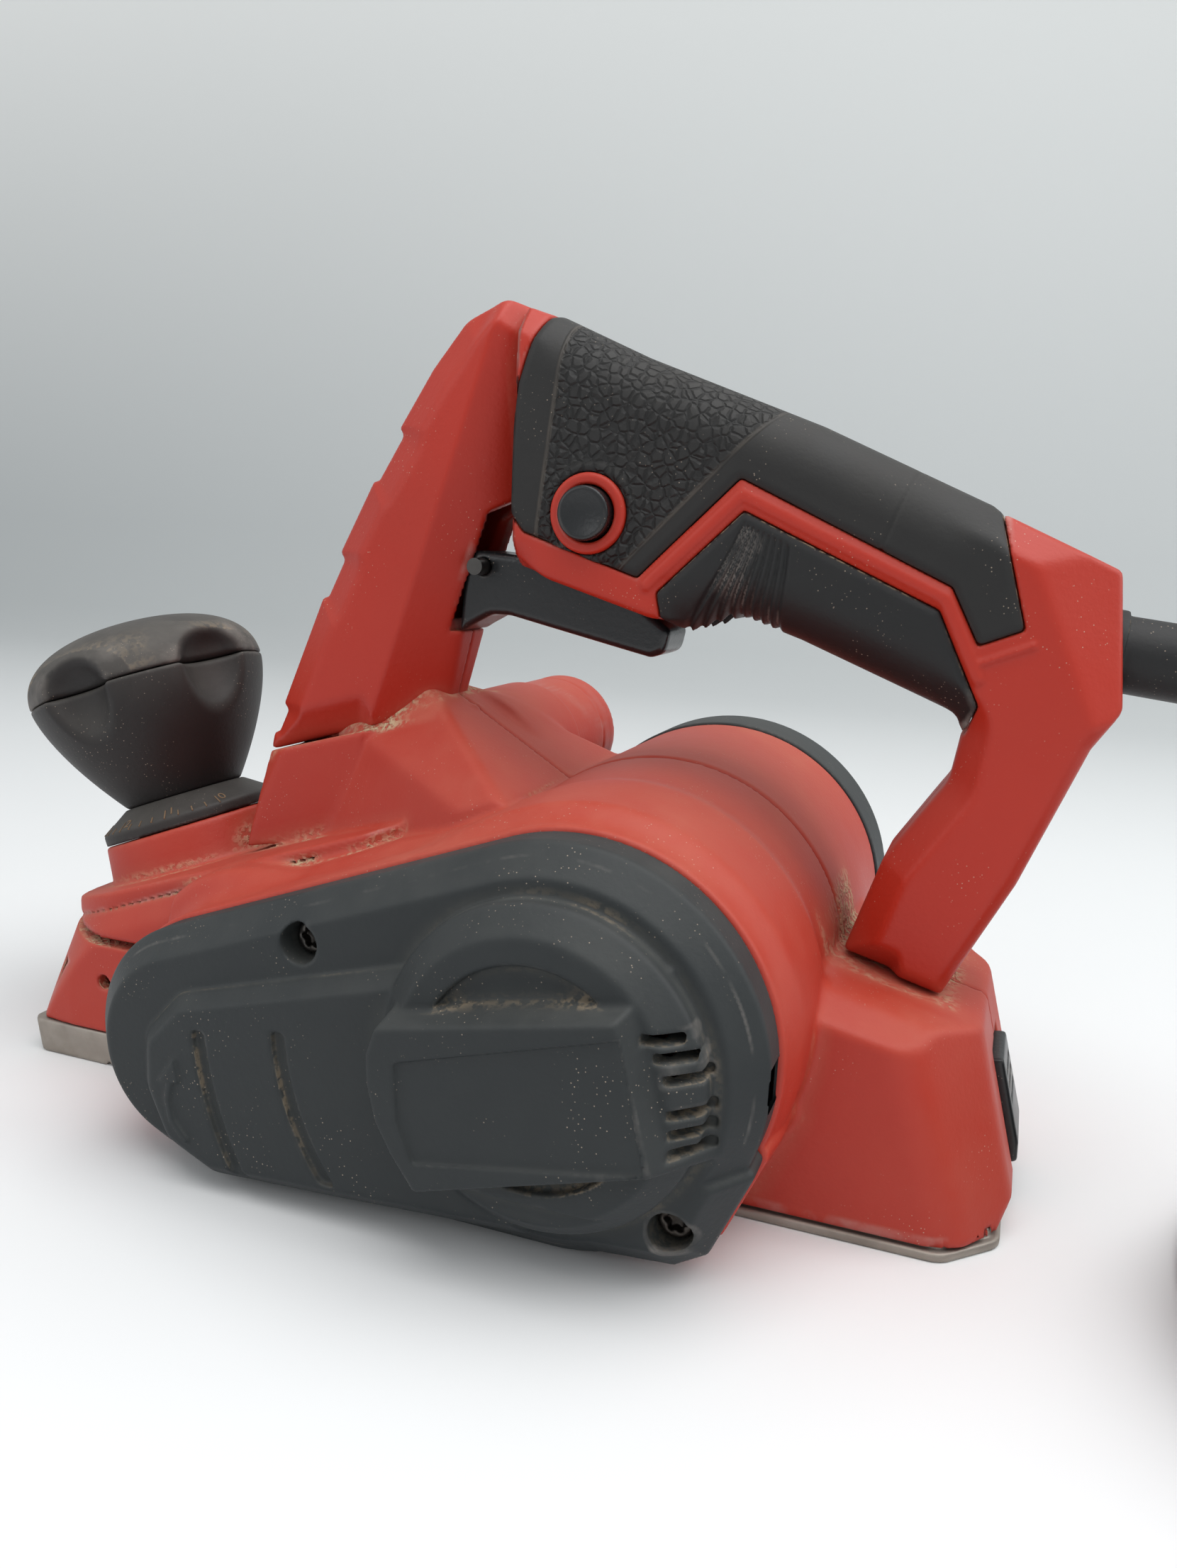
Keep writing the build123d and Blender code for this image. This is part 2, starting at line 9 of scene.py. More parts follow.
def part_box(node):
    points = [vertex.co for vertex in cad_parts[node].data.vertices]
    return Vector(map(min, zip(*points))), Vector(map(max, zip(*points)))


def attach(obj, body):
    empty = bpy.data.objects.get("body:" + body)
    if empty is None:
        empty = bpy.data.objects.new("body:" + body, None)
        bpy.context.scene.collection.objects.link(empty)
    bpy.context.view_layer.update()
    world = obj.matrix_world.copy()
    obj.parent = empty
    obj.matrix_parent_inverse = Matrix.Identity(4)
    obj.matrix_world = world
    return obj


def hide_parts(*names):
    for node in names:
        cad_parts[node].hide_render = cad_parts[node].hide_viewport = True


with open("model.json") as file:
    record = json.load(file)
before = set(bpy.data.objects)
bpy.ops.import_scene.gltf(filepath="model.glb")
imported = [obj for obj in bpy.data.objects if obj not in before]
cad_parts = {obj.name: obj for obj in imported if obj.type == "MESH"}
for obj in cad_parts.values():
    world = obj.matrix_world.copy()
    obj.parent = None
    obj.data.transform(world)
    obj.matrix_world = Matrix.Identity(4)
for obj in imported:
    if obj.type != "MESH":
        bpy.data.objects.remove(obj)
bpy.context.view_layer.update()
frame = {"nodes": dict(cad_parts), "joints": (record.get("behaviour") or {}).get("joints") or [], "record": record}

# Electric hand planer. +X points forward to the knob, +Y to the belt side, +Z up.
# Shapes are worked out in millimetres as signed distances, negative inside, and meshed in metres.
MM = 0.001


def joint_place(name):
    """A joint's anchor in millimetres."""
    found = next(j for j in frame["joints"] if j["name"] == name)
    return [1000 * c for c in found["pos_m"]]


def node_box(name):
    low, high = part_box(name)
    return [1000 * c for c in low], [1000 * c for c in high]


# ---- driving dimensions, from the frame ----
MOTOR_X, _, MOTOR_Z = joint_place("rotor_spin")
DRUM_X, _, DRUM_Z = joint_place("drum_spin")
KNOB_X, _, KNOB_Z = joint_place("knob_turn")
TRIGGER_X, _, TRIGGER_Z = joint_place("trigger_hinge")
KNOB_AXIS = Vector(next(j for j in frame["joints"] if j["name"] == "knob_turn")["axis"]).normalized()
SOLE_HALF = node_box("front_sole")[1][1]
SOLE_REAR = node_box("rear_sole")[0][0]
BARREL_R, BARREL_Z = 45.4, 45.5
COVER_Y0, COVER_Y1 = node_box("belt_cover")[0][1], node_box("belt_cover")[1][1]
REAR_R, FRONT_R = 42.0, 27.0
BUTTON_X, BUTTON_Z = 17.0, 147.0
OUTLET_X, OUTLET_Z = 56.5, 82.5
COVER_REAR, COVER_FRONT = (-1.0, 43.9), (83.0, 28.8)
COVER_SCREWS = ((54.0, 58.5), (-27.0, 14.5))
CORD_D = 7.0


# ---- distance helpers: every one takes and returns arrays ----
def cut(shape, tool, r=0.4):
    """shape without tool, with the new edges rounded."""
    return meet(shape, -tool, r)


def meet(a, b, r=0.0):
    """Intersection with a round edge of radius r."""
    if r <= 0:
        return np.maximum(a, b)
    corner = np.sqrt(np.maximum(a + r, 0) ** 2 + np.maximum(b + r, 0) ** 2)
    return np.minimum(np.maximum(a, b), -r) + corner


def join(a, b, r=0.0):
    """Union with a fillet of radius r."""
    if r <= 0:
        return np.minimum(a, b)
    corner = np.sqrt(np.maximum(r - a, 0) ** 2 + np.maximum(r - b, 0) ** 2)
    return np.maximum(np.minimum(a, b), r) - corner


def bevel(a, b, size, r=0.5):
    """Intersection with a flat chamfer of that size, its edges rounded."""
    flat = (a + b + size) * math.sqrt(0.5)
    return meet(meet(a, b, r), flat, r)


def slab(value, low, high):
    return np.abs(value - (low + high) / 2) - (high - low) / 2


def step_up(value, low, high):
    t = np.clip((value - low) / (high - low), 0, 1)
    return t * t * (3 - 2 * t)


def softened(points, radius, steps=5):
    """A closed outline with its corners turned into short curves."""
    out = []
    for i, corner in enumerate(points):
        c = Vector(corner[:2])
        r = corner[2] if len(corner) > 2 else radius
        before = Vector(points[i - 1][:2]) - c
        after = Vector(points[(i + 1) % len(points)][:2]) - c
        half_angle = before.angle(after) / 2
        back = min(r / math.tan(half_angle), 0.48 * before.length, 0.48 * after.length)
        start, end = c + before.normalized() * back, c + after.normalized() * back
        for k in range(steps + 1):
            t = k / steps
            out.append(tuple(start * (1 - t) ** 2 + c * 2 * t * (1 - t) + end * t * t))
    return out


def outline(points, U, V, radius=0.0):
    """Distance to a closed outline in the plane of U and V."""
    if radius > 0:
        points = softened(points, radius)
    nearest, inside = None, None
    for (au, av, *_), (bu, bv, *_) in zip(points, points[1:] + points[:1]):
        eu, ev = bu - au, bv - av
        wu, wv = U - au, V - av
        t = np.clip((wu * eu + wv * ev) / (eu * eu + ev * ev), 0, 1)
        d = (wu - eu * t) ** 2 + (wv - ev * t) ** 2
        above = (av > V) != (bv > V)
        crossing = above & (wu < eu * wv / (ev if abs(ev) > 1e-9 else 1e-9))
        nearest = d if nearest is None else np.minimum(nearest, d)
        inside = crossing if inside is None else inside ^ crossing
    return np.where(inside, -1.0, 1.0) * np.sqrt(nearest)


def stroke(points, U, V):
    """Distance to an open line of straight runs."""
    nearest = None
    for (au, av), (bu, bv) in zip(points, points[1:]):
        eu, ev = bu - au, bv - av
        t = np.clip(((U - au) * eu + (V - av) * ev) / (eu * eu + ev * ev), 0, 1)
        d = np.sqrt((U - au - eu * t) ** 2 + (V - av - ev * t) ** 2)
        nearest = d if nearest is None else np.minimum(nearest, d)
    return nearest


def oval(X, Z, rear_r, front_r, rear=COVER_REAR, front=COVER_FRONT):
    """A rear and a front circle and the straight sides that join them."""
    span = Vector(front) - Vector(rear)
    way = span.normalized()
    along = (X - rear[0]) * way.x + (Z - rear[1]) * way.y
    aside = np.abs(-(X - rear[0]) * way.y + (Z - rear[1]) * way.x)
    b = (rear_r - front_r) / span.length
    a = math.sqrt(1 - b * b)
    k = -b * aside + a * along
    behind = np.sqrt(aside**2 + along**2) - rear_r
    ahead = np.sqrt(aside**2 + (along - span.length) ** 2) - front_r
    side = a * aside + b * along - rear_r
    return np.where(k < 0, behind, np.where(k > a * span.length, ahead, side))


def knob_frame(X, Y, Z):
    """Height along the knob's leaning axis, and the two coordinates across it."""
    height = (X - KNOB_X) * KNOB_AXIS.x + (Z - KNOB_Z) * KNOB_AXIS.z
    across = (X - KNOB_X) * KNOB_AXIS.z - (Z - KNOB_Z) * KNOB_AXIS.x
    return height, across, Y


# ---- from a distance field to a mesh ----
def sample(grid, P, low, step):
    """The grid's value at each point, linear between its samples."""
    q = (P - low) / step
    i = np.clip(np.floor(q).astype(int), 0, np.array(grid.shape) - 2)
    f = np.clip(q - i, 0, 1)
    out = np.zeros(len(P))
    for dx in (0, 1):
        for dy in (0, 1):
            for dz in (0, 1):
                w = np.abs(1 - dx - f[:, 0]) * np.abs(1 - dy - f[:, 1]) * np.abs(1 - dz - f[:, 2])
                out += w * grid[i[:, 0] + dx, i[:, 1] + dy, i[:, 2] + dz]
    return out


def surface_net(grid, low, step):
    """One vertex in each cell that the surface crosses, and one quad across each crossing edge."""
    inside = grid < 0
    n = np.array(grid.shape) - 1
    total = np.zeros(n, np.int8)
    for dx in (0, 1):
        for dy in (0, 1):
            for dz in (0, 1):
                total += inside[dx:n[0] + dx, dy:n[1] + dy, dz:n[2] + dz]
    cells = np.argwhere((total > 0) & (total < 8))
    number = np.full(n, -1, np.int32)
    number[tuple(cells.T)] = np.arange(len(cells))
    place, count = np.zeros((len(cells), 3)), np.zeros(len(cells))
    for axis in range(3):
        others = [k for k in range(3) if k != axis]
        for p in (0, 1):
            for q in (0, 1):
                start = np.zeros(3, int)
                start[others[0]], start[others[1]] = p, q
                end = start.copy()
                end[axis] = 1
                a = grid[tuple((cells + start).T)]
                b = grid[tuple((cells + end).T)]
                crosses = (a < 0) != (b < 0)
                t = np.where(crosses, a / np.where(crosses, a - b, 1), 0)
                point = cells + start + np.outer(t, np.eye(3)[axis])
                place += np.where(crosses[:, None], point, 0)
                count += crosses
    points = place / count[:, None] * step + low
    quads = []
    for axis in range(3):
        u, v = (axis + 1) % 3, (axis + 2) % 3
        span = [slice(1, -1)] * 3
        span[axis] = slice(0, -1)
        ahead = list(span)
        ahead[axis] = slice(1, None)
        first, second = inside[tuple(span)], inside[tuple(ahead)]
        for flip, mask in ((False, first & ~second), (True, ~first & second)):
            at = np.argwhere(mask)
            at[:, u] += 1
            at[:, v] += 1
            ring = []
            for du, dv in ((-1, -1), (0, -1), (0, 0), (-1, 0)):
                c = at.copy()
                c[:, u] += du
                c[:, v] += dv
                ring.append(number[tuple(c.T)])
            quads.append(np.stack(ring[::-1] if flip else ring, 1))
    return points, np.concatenate(quads)


def solid(name, field, low, high, step, material, body, nodes=(), near=None):
    """A piece whose surface is where field(X, Y, Z) is zero, inside the box from low to high, in millimetres.
    Its vertices carry hollow, edge and up, which the materials use for dust and wear."""
    low, high = np.array(low, float) - 1.5 * step, np.array(high, float) + 1.5 * step
    counts = np.ceil((high - low) / step).astype(int) + 1
    X, Y, Z = (low[k] + step * np.arange(counts[k]) for k in range(3))
    grid = field(X[:, None, None], Y[None, :, None], Z[None, None, :])
    grid = np.ascontiguousarray(np.broadcast_to(grid, counts), dtype=np.float32)
    points, quads = surface_net(grid, low, step)
    slopes = np.gradient(grid, step)
    for _ in range(3):
        normal = np.stack([sample(g, points, low, step) for g in slopes], 1)
        size = np.maximum((normal**2).sum(1), 0.05)
        move = -(sample(grid, points, low, step) / size)[:, None] * normal
        points += np.clip(move, -0.4 * step, 0.4 * step)
    normal = np.stack([sample(g, points, low, step) for g in slopes], 1)
    normal /= np.maximum(np.linalg.norm(normal, axis=1), 1e-6)[:, None]

    def openness(reach):
        ahead = points + normal * reach
        value = np.minimum(sample(grid, ahead, low, step), reach)
        outside = ((ahead < low) | (ahead > high)).any(1)
        value[outside] = reach
        if near:
            value = np.minimum(value, near(*ahead.T))
        return np.clip(value / reach, 0, 1)

    hollow = 1 - 0.5 * (openness(2.5) + openness(7.0))
    edge = np.clip(-sample(grid, points - normal * 1.2, low, step) / 1.2, 0, 1)
    mesh = bpy.data.meshes.new(name)
    mesh.vertices.add(len(points))
    mesh.vertices.foreach_set("co", (points * MM).astype(np.float32).ravel())
    mesh.loops.add(quads.size)
    mesh.loops.foreach_set("vertex_index", quads.astype(np.int32).ravel())
    mesh.polygons.add(len(quads))
    mesh.polygons.foreach_set("loop_start", np.arange(0, quads.size, 4, dtype=np.int32))
    mesh.update(calc_edges=True)
    for key, value in (("hollow", hollow), ("edge", 1 - edge), ("up", normal[:, 2])):
        mesh.attributes.new(key, "FLOAT", "POINT").data.foreach_set("value", value.astype(np.float32))
    mesh.polygons.foreach_set("use_smooth", np.ones(len(quads), bool))
    mesh.normals_split_custom_set_from_vertices(normal.astype(np.float32))
    obj = bpy.data.objects.new(name, mesh)
    return finished(obj, material, body, nodes)


def finished(obj, material, body, nodes=()):
    """Link a piece, give it its material and say what it rides on and stands for."""
    if obj.name not in bpy.context.scene.collection.objects:
        bpy.context.scene.collection.objects.link(obj)
    obj.data.materials.clear()
    obj.data.materials.append(material)
    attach(obj, body)
    if nodes:
        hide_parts(*nodes)
    return obj


# ---- camera, stage and light ----
def make_camera():
    eye = Vector((-0.0775, 0.2673, 0.1408))
    turn, pitch, roll = math.radians(20.14), math.radians(11.69), math.radians(2.453)
    ahead = Vector((math.sin(turn) * math.cos(pitch), -math.cos(turn) * math.cos(pitch), -math.sin(pitch)))
    level = ahead.cross(Vector((0, 0, 1))).normalized()
    rise = level.cross(ahead)
    right = level * math.cos(roll) + rise * math.sin(roll)
    up = rise * math.cos(roll) - level * math.sin(roll)
    camera = bpy.data.objects.new("camera", bpy.data.cameras.new("camera"))
    camera.matrix_world = Matrix(
        [[right[i], up[i], -ahead[i], eye[i]] for i in range(3)] + [[0, 0, 0, 1]]
    )
    camera.data.sensor_width = 36
    camera.data.lens = 26.83
    camera.data.clip_start = 0.01
    bpy.context.scene.collection.objects.link(camera)
    bpy.context.scene.camera = camera


def area_light(name, place, target, size, power, colour=(1, 1, 1)):
    light = bpy.data.lights.new(name, "AREA")
    light.shape = "RECTANGLE"
    light.size, light.size_y = size
    light.energy = power
    light.color = colour
    obj = bpy.data.objects.new(name, light)
    obj.location = place
    way = Vector(target) - Vector(place)
    obj.rotation_euler = way.to_track_quat("-Z", "Y").to_euler()
    bpy.context.scene.collection.objects.link(obj)


def make_stage():
    """A pale floor that curves up into a wall behind the tool, with painted shade on the floor and a painted glow
    on the wall.
    """
    wall_y, bend, half, top, near_y = -1.5, 0.7, 2.6, 2.2, 2.2
    profile = [(near_y, 0.0), (wall_y + bend, 0.0)]
    for k in range(1, 25):
        a = math.pi / 2 * k / 24
        profile.append((wall_y + bend - bend * math.sin(a), bend - bend * math.cos(a)))
    profile.append((wall_y, top))
    verts = [(x, y, z) for y, z in profile for x in (-half, half)]
    faces = [(2 * i, 2 * i + 1, 2 * i + 3, 2 * i + 2) for i in range(len(profile) - 1)]
    mesh = bpy.data.meshes.new("stage_floor")
    mesh.from_pydata(verts, [], faces)
    mesh.polygons.foreach_set("use_smooth", [True] * len(faces))
    floor = bpy.data.objects.new("stage_floor", mesh)
    bpy.context.scene.collection.objects.link(floor)
    material, nodes, links, shader = new_material("stage_white", (0.80, 0.80, 0.80), 0.6)
    place = add(nodes, "ShaderNodeTexCoord")
    split = add(nodes, "ShaderNodeSeparateXYZ")
    links.new(place.outputs["Object"], split.inputs[0])
    def ramp(value, low, high, stops):
        scaled = add(nodes, "ShaderNodeMapRange", clamp=True)
        links.new(value, scaled.inputs[0])
        scaled.inputs[1].default_value, scaled.inputs[2].default_value = low, high
        colours = add(nodes, "ShaderNodeValToRGB")
        links.new(scaled.outputs[0], colours.inputs[0])
        marks = colours.color_ramp.elements
        marks[0].position, marks[0].color = stops[0][0], (*stops[0][1], 1)
        marks[1].position, marks[1].color = stops[-1][0], (*stops[-1][1], 1)
        for at, colour in stops[1:-1]:
            marks.new(at).color = (*colour, 1)
        return colours.outputs[0]

    # painted shade: the floor's colour darkens towards the far side, where less light falls
    floor_painted_shade_tones = [(0, (0.52, 0.54, 0.54)), (0.55, (0.70, 0.71, 0.71)), (1, (0.80, 0.80, 0.80))]
    # painted light: the wall glows, more the higher it goes, to look brighter than the lamps make it
    wall_painted_glow_tones = [(0, (0, 0, 0)), (0.12, (0.02, 0.02, 0.02)), (0.9, (0.34, 0.34, 0.33))]
    painted_floor_shade = ramp(split.outputs["Y"], -1.0, 0.2, floor_painted_shade_tones)
    glow = ramp(split.outputs["Z"], 0.0, 1.2, wall_painted_glow_tones)
    links.new(painted_floor_shade, shader.inputs["Base Color"])
    links.new(glow, shader.inputs["Emission Color"])
    shader.inputs["Emission Strength"].default_value = 1.0
    floor.data.materials.append(material)


def make_light():
    world = bpy.data.worlds.new("world")
    world.use_nodes = True
    world.node_tree.nodes["Background"].inputs[0].default_value = (0.93, 0.97, 1.0, 1)
    world.node_tree.nodes["Background"].inputs[1].default_value = 0.58
    bpy.context.scene.world = world
    area_light("softbox_top", (-0.25, 0.15, 1.15), (0, 0, 0.05), (1.3, 1.1), 12)
    area_light("softbox_rear", (-1.1, -0.25, 0.75), (0, 0, 0.08), (0.9, 0.9), 5)
    area_light("softbox_front", (0.9, 0.9, 0.7), (0.05, 0, 0.08), (0.9, 0.7), 2.6)
    bpy.context.scene.view_settings.view_transform = "Standard"


# ---- materials ----
def add(nodes, kind, **values):
    node = nodes.new(kind)
    for key, value in values.items():
        setattr(node, key, value)
    return node


def new_material(name, colour, roughness, metallic=0.0, specular=0.5):
    material = bpy.data.materials.new(name)
    material.use_nodes = True
    nodes, links = material.node_tree.nodes, material.node_tree.links
    shader = nodes["Principled BSDF"]
    shader.inputs["Base Color"].default_value = (*colour, 1)
    shader.inputs["Roughness"].default_value = roughness
    shader.inputs["Metallic"].default_value = metallic
    shader.inputs["Specular IOR Level"].default_value = specular
    return material, nodes, links, shader


class Recipe:
    """Small steps for building one node material."""

    def __init__(self, name, colour, roughness, metallic=0.0, specular=0.5):
        self.material, self.nodes, self.links, self.shader = new_material(
            name, colour, roughness, metallic, specular)
        self.place = add(self.nodes, "ShaderNodeTexCoord").outputs["Object"]
        self.colour = None
        self.height = None

    def math(self, kind, a, b=0.0, clamp=False):
        node = add(self.nodes, "ShaderNodeMath", operation=kind, use_clamp=clamp)
        for socket, value in zip(node.inputs, (a, b)):
            if isinstance(value, (int, float)):
                socket.default_value = value
            else:
                self.links.new(value, socket)
        return node.outputs[0]

    def noise(self, scale, detail=3.0, rough=0.55, stretch=(1, 1, 1)):
        place = self.place
        if stretch != (1, 1, 1):
            node = add(self.nodes, "ShaderNodeMapping")
            node.inputs["Scale"].default_value = stretch
            self.links.new(place, node.inputs[0])
            place = node.outputs[0]
        node = add(self.nodes, "ShaderNodeTexNoise")
        node.inputs["Scale"].default_value = scale
        node.inputs["Detail"].default_value = detail
        node.inputs["Roughness"].default_value = rough
        self.links.new(place, node.inputs["Vector"])
        return node.outputs[0]

    def cells(self, scale, feature="F1", warp=0.0):
        node = add(self.nodes, "ShaderNodeTexVoronoi", feature=feature)
        node.inputs["Scale"].default_value = scale
        place = self.place
        if warp:
            noise = add(self.nodes, "ShaderNodeTexNoise")
            noise.inputs["Scale"].default_value = scale * 0.8
            self.links.new(place, noise.inputs["Vector"])
            shift = add(self.nodes, "ShaderNodeVectorMath", operation="MULTIPLY_ADD")
            self.links.new(noise.outputs["Color"], shift.inputs[0])
            shift.inputs[1].default_value = (warp, warp, warp)
            self.links.new(place, shift.inputs[2])
            place = shift.outputs[0]
        self.links.new(place, node.inputs["Vector"])
        return node.outputs["Distance"]

    def range(self, value, low, high, to_low=0.0, to_high=1.0):
        node = add(self.nodes, "ShaderNodeMapRange", clamp=True)
        self.links.new(value, node.inputs[0])
        for socket, number in zip(node.inputs[1:5], (low, high, to_low, to_high)):
            socket.default_value = number
        return node.outputs[0]

    def attribute(self, name):
        return add(self.nodes, "ShaderNodeAttribute", attribute_name=name).outputs["Fac"]

    def plane(self, point, normal):
        """Distance from a plane, both in metres, in the tool's own frame."""
        node = add(self.nodes, "ShaderNodeVectorMath", operation="DOT_PRODUCT")
        self.links.new(self.place, node.inputs[0])
        way = Vector(normal).normalized()
        node.inputs[1].default_value = way
        return self.math("SUBTRACT", node.outputs["Value"], way.dot(Vector(point)))

    def tint(self, colour, share):
        """Lay a colour over what is there, by a share from 0 to 1."""
        node = add(self.nodes, "ShaderNodeMix", data_type="RGBA")
        if isinstance(share, (int, float)):
            node.inputs["Factor"].default_value = share
        else:
            self.links.new(share, node.inputs["Factor"])
        if self.colour is None:
            node.inputs["A"].default_value = self.shader.inputs["Base Color"].default_value
        else:
            self.links.new(self.colour, node.inputs["A"])
        node.inputs["B"].default_value = (*colour, 1)
        self.colour = node.outputs["Result"]

    def lift(self, value, amount):
        """Add a height in metres to the bump."""
        scaled = self.math("MULTIPLY", value, amount)
        self.height = scaled if self.height is None else self.math("ADD", self.height, scaled)

    def done(self, roughness=None):
        if self.colour is not None:
            self.links.new(self.colour, self.shader.inputs["Base Color"])
        if roughness is not None:
            self.links.new(roughness, self.shader.inputs["Roughness"])
        if self.height is not None:
            bump = add(self.nodes, "ShaderNodeBump")
            bump.inputs["Strength"].default_value = 1.0
            bump.inputs["Distance"].default_value = 1.0
            self.links.new(self.height, bump.inputs["Height"])
            self.links.new(bump.outputs[0], self.shader.inputs["Normal"])
        return self.material


SAWDUST = (0.50, 0.37, 0.23)


def weathered(name, colour, pale, roughness, dust=1.0, specular=0.5, grain=None, sawdust=1.0,
              wear=(0.45, 0.4, 0.36)):
    """Moulded plastic or rubber with a film of dust, specks, sawdust in the corners and rubbed edges."""
    m = Recipe(name, colour, roughness, specular=specular)
    broad, fine = m.noise(22, 4), m.noise(160, 3)
    hollow, up, edge = m.attribute("hollow"), m.attribute("up"), m.attribute("edge")
    m.tint(tuple(0.72 * c for c in colour), m.range(m.noise(9, 3), 0.40, 0.75, 0, 0.5))
    film = m.math("MULTIPLY", m.range(up, -0.2, 1.0, 0.06, 0.95), m.range(broad, 0.30, 0.72, 0.30, 1.0))
    film = m.math("ADD", film, m.math("MULTIPLY", m.range(hollow, 0.06, 0.5), 0.55))
    film = m.math("MULTIPLY", film, m.range(fine, 0.25, 0.75, 0.75, 1.15))
    m.tint(pale, m.math("MULTIPLY", film, 0.50 * dust, clamp=True))
    rubbed = m.math("MULTIPLY", m.range(edge, 0.22, 0.6), m.range(m.noise(70, 4), 0.48, 0.68))
    m.tint(wear, m.math("MULTIPLY", rubbed, 0.35))
    speck = m.math("MULTIPLY", m.range(m.cells(900), 0.08, 0.15, 1, 0), m.range(m.noise(60, 3), 0.50, 0.64))
    m.tint((0.50, 0.40, 0.31), m.math("MULTIPLY", speck, 0.6))
    corner = m.math("MULTIPLY", m.range(hollow, 0.24, 0.52), m.range(up, -0.25, 0.35))
    crumbs = m.range(m.noise(650, 2), 0.42, 0.58)
    pile = m.math("MULTIPLY", corner, m.math("MULTIPLY", crumbs, m.range(m.noise(48, 3), 0.40, 0.60)))
    pile = m.math("MULTIPLY", pile, sawdust, clamp=True)
    m.tint(SAWDUST, pile)
    m.lift(m.noise(900, 2), 0.00006)
    m.lift(pile, 0.0004)
    if grain:
        grain(m)
    rough = m.range(broad, 0.3, 0.7, roughness - 0.06, roughness + 0.08)
    rough = m.math("ADD", rough, m.math("MULTIPLY", film, 0.18))
    return m.done(m.math("ADD", rough, m.math("MULTIPLY", pile, 0.3), clamp=True))


def leather(m):
    """Pebbled grain between the pad's front strip and its slanting line."""
    front = m.plane((0.0275, 0, 0.16), (-1, 0, -0.12))
    rear = m.plane((-0.020, 0, 0.1655), (0.72, 0, 0.70))
    keep = m.math("MULTIPLY", m.range(front, 0.0, 0.0006), m.range(rear, 0.0, 0.0006))
    groove = m.range(m.cells(430, "DISTANCE_TO_EDGE", warp=0.0011), 0.02, 0.20)
    m.lift(m.math("MULTIPLY", groove, keep), 0.00045)
    # painted shade: the grain's grooves are painted darker than the rubber around them
    m.tint((0.006, 0.006, 0.006), m.math("MULTIPLY", m.range(groove, 0.0, 0.6, 0.55, 0.0), keep))
    for line in (front, rear):
        edge = m.range(m.math("ABSOLUTE", line), 0.0003, 0.0007, 1, 0)
        m.tint((0.12, 0.10, 0.08), m.math("MULTIPLY", edge, m.range(m.noise(120, 2), 0.35, 0.6, 0.1, 0.35)))
        m.lift(edge, 0.0002)


def metal(name, colour, roughness, grain_scale=(1, 1, 1), dirt=(0.20, 0.15, 0.10), dirt_share=0.35,
          metallic=1.0):
    m = Recipe(name, colour, roughness, metallic=metallic)
    broad = m.noise(35, 4)
    m.tint(tuple(0.7 * c for c in colour), m.range(m.noise(140, 3), 0.35, 0.7, 0, 0.6))
    m.tint(dirt, m.math("MULTIPLY", m.range(broad, 0.5, 0.75), dirt_share))
    m.lift(m.noise(400, 2, stretch=grain_scale), 0.00012)
    return m.done(m.range(broad, 0.3, 0.7, roughness - 0.08, roughness + 0.15))


def simple(name, colour, roughness, metallic=0.0, scale=90, depth=0.0001):
    m = Recipe(name, colour, roughness, metallic=metallic)
    m.tint(tuple(0.6 * c for c in colour), m.range(m.noise(scale, 3), 0.35, 0.7))
    m.lift(m.noise(scale * 5, 2), depth)
    return m.done(m.range(m.noise(scale / 2, 2), 0.3, 0.7, roughness - 0.05, roughness + 0.1))


RED = (0.42, 0.020, 0.007)
RED_PALE = (0.50, 0.175, 0.115)
SLATE = (0.013, 0.017, 0.019)
MATERIAL = {
    "red": weathered("red_plastic", RED, RED_PALE, 0.46, specular=0.4),
    "red_clean": weathered("red_handle", RED, RED_PALE, 0.42, dust=0.35, specular=0.4, sawdust=0.5),
    "slate": weathered("slate_plastic", SLATE, (0.125, 0.125, 0.115), 0.50,
                       dust=0.8, specular=0.35, sawdust=0.3),
    "knob": weathered("knob_rubber", (0.014, 0.012, 0.012), (0.19, 0.175, 0.155), 0.52,
                      dust=1.0, specular=0.35, sawdust=0.4),
    "grain": weathered("grip_rubber_grain", (0.012, 0.012, 0.012), (0.10, 0.09, 0.08), 0.52,
                       specular=0.35, dust=0.8, grain=leather),
    "grip": weathered("grip_rubber", (0.010, 0.0105, 0.011), (0.08, 0.075, 0.07), 0.50,
                      specular=0.35, dust=0.45, sawdust=0.6),
    "black": weathered("black_plastic", (0.007, 0.008, 0.009), (0.06, 0.06, 0.06), 0.26,
                       dust=0.25, sawdust=0.5),
    "sole": metal("cast_sole", (0.36, 0.32, 0.28), 0.55, dirt=(0.16, 0.11, 0.07), metallic=0.8),
    "steel": metal("bright_steel", (0.52, 0.51, 0.50), 0.32),
    "dark_steel": metal("oily_steel", (0.10, 0.095, 0.09), 0.36, dirt=(0.08, 0.05, 0.03)),
    "drum": metal("drum_alloy", (0.48, 0.48, 0.49), 0.30),
    "copper": metal("copper", (0.75, 0.34, 0.17), 0.35),
    "lamination": metal("lamination", (0.28, 0.28, 0.29), 0.5, grain_scale=(1, 12, 1)),
    "graphite": simple("graphite", (0.03, 0.03, 0.03), 0.6),
    "belt": simple("belt_rubber", (0.015, 0.015, 0.015), 0.7),
    "cord": simple("cord_rubber", (0.014, 0.014, 0.015), 0.52, depth=0.00006),
    "fan": simple("fan_plastic", (0.04, 0.05, 0.06), 0.5),
}
SLOT_MATERIAL = {
    "red_plastic": "red", "grey_plastic": "slate", "black_plastic": "black", "grip_rubber": "grip",
    "sole_metal": "sole", "steel": "dark_steel", "tool_steel": "steel", "drum_metal": "drum",
    "copper": "copper", "lamination": "lamination", "graphite": "graphite", "belt_rubber": "belt",
    "cord_rubber": "cord", "fan_plastic": "fan",
}


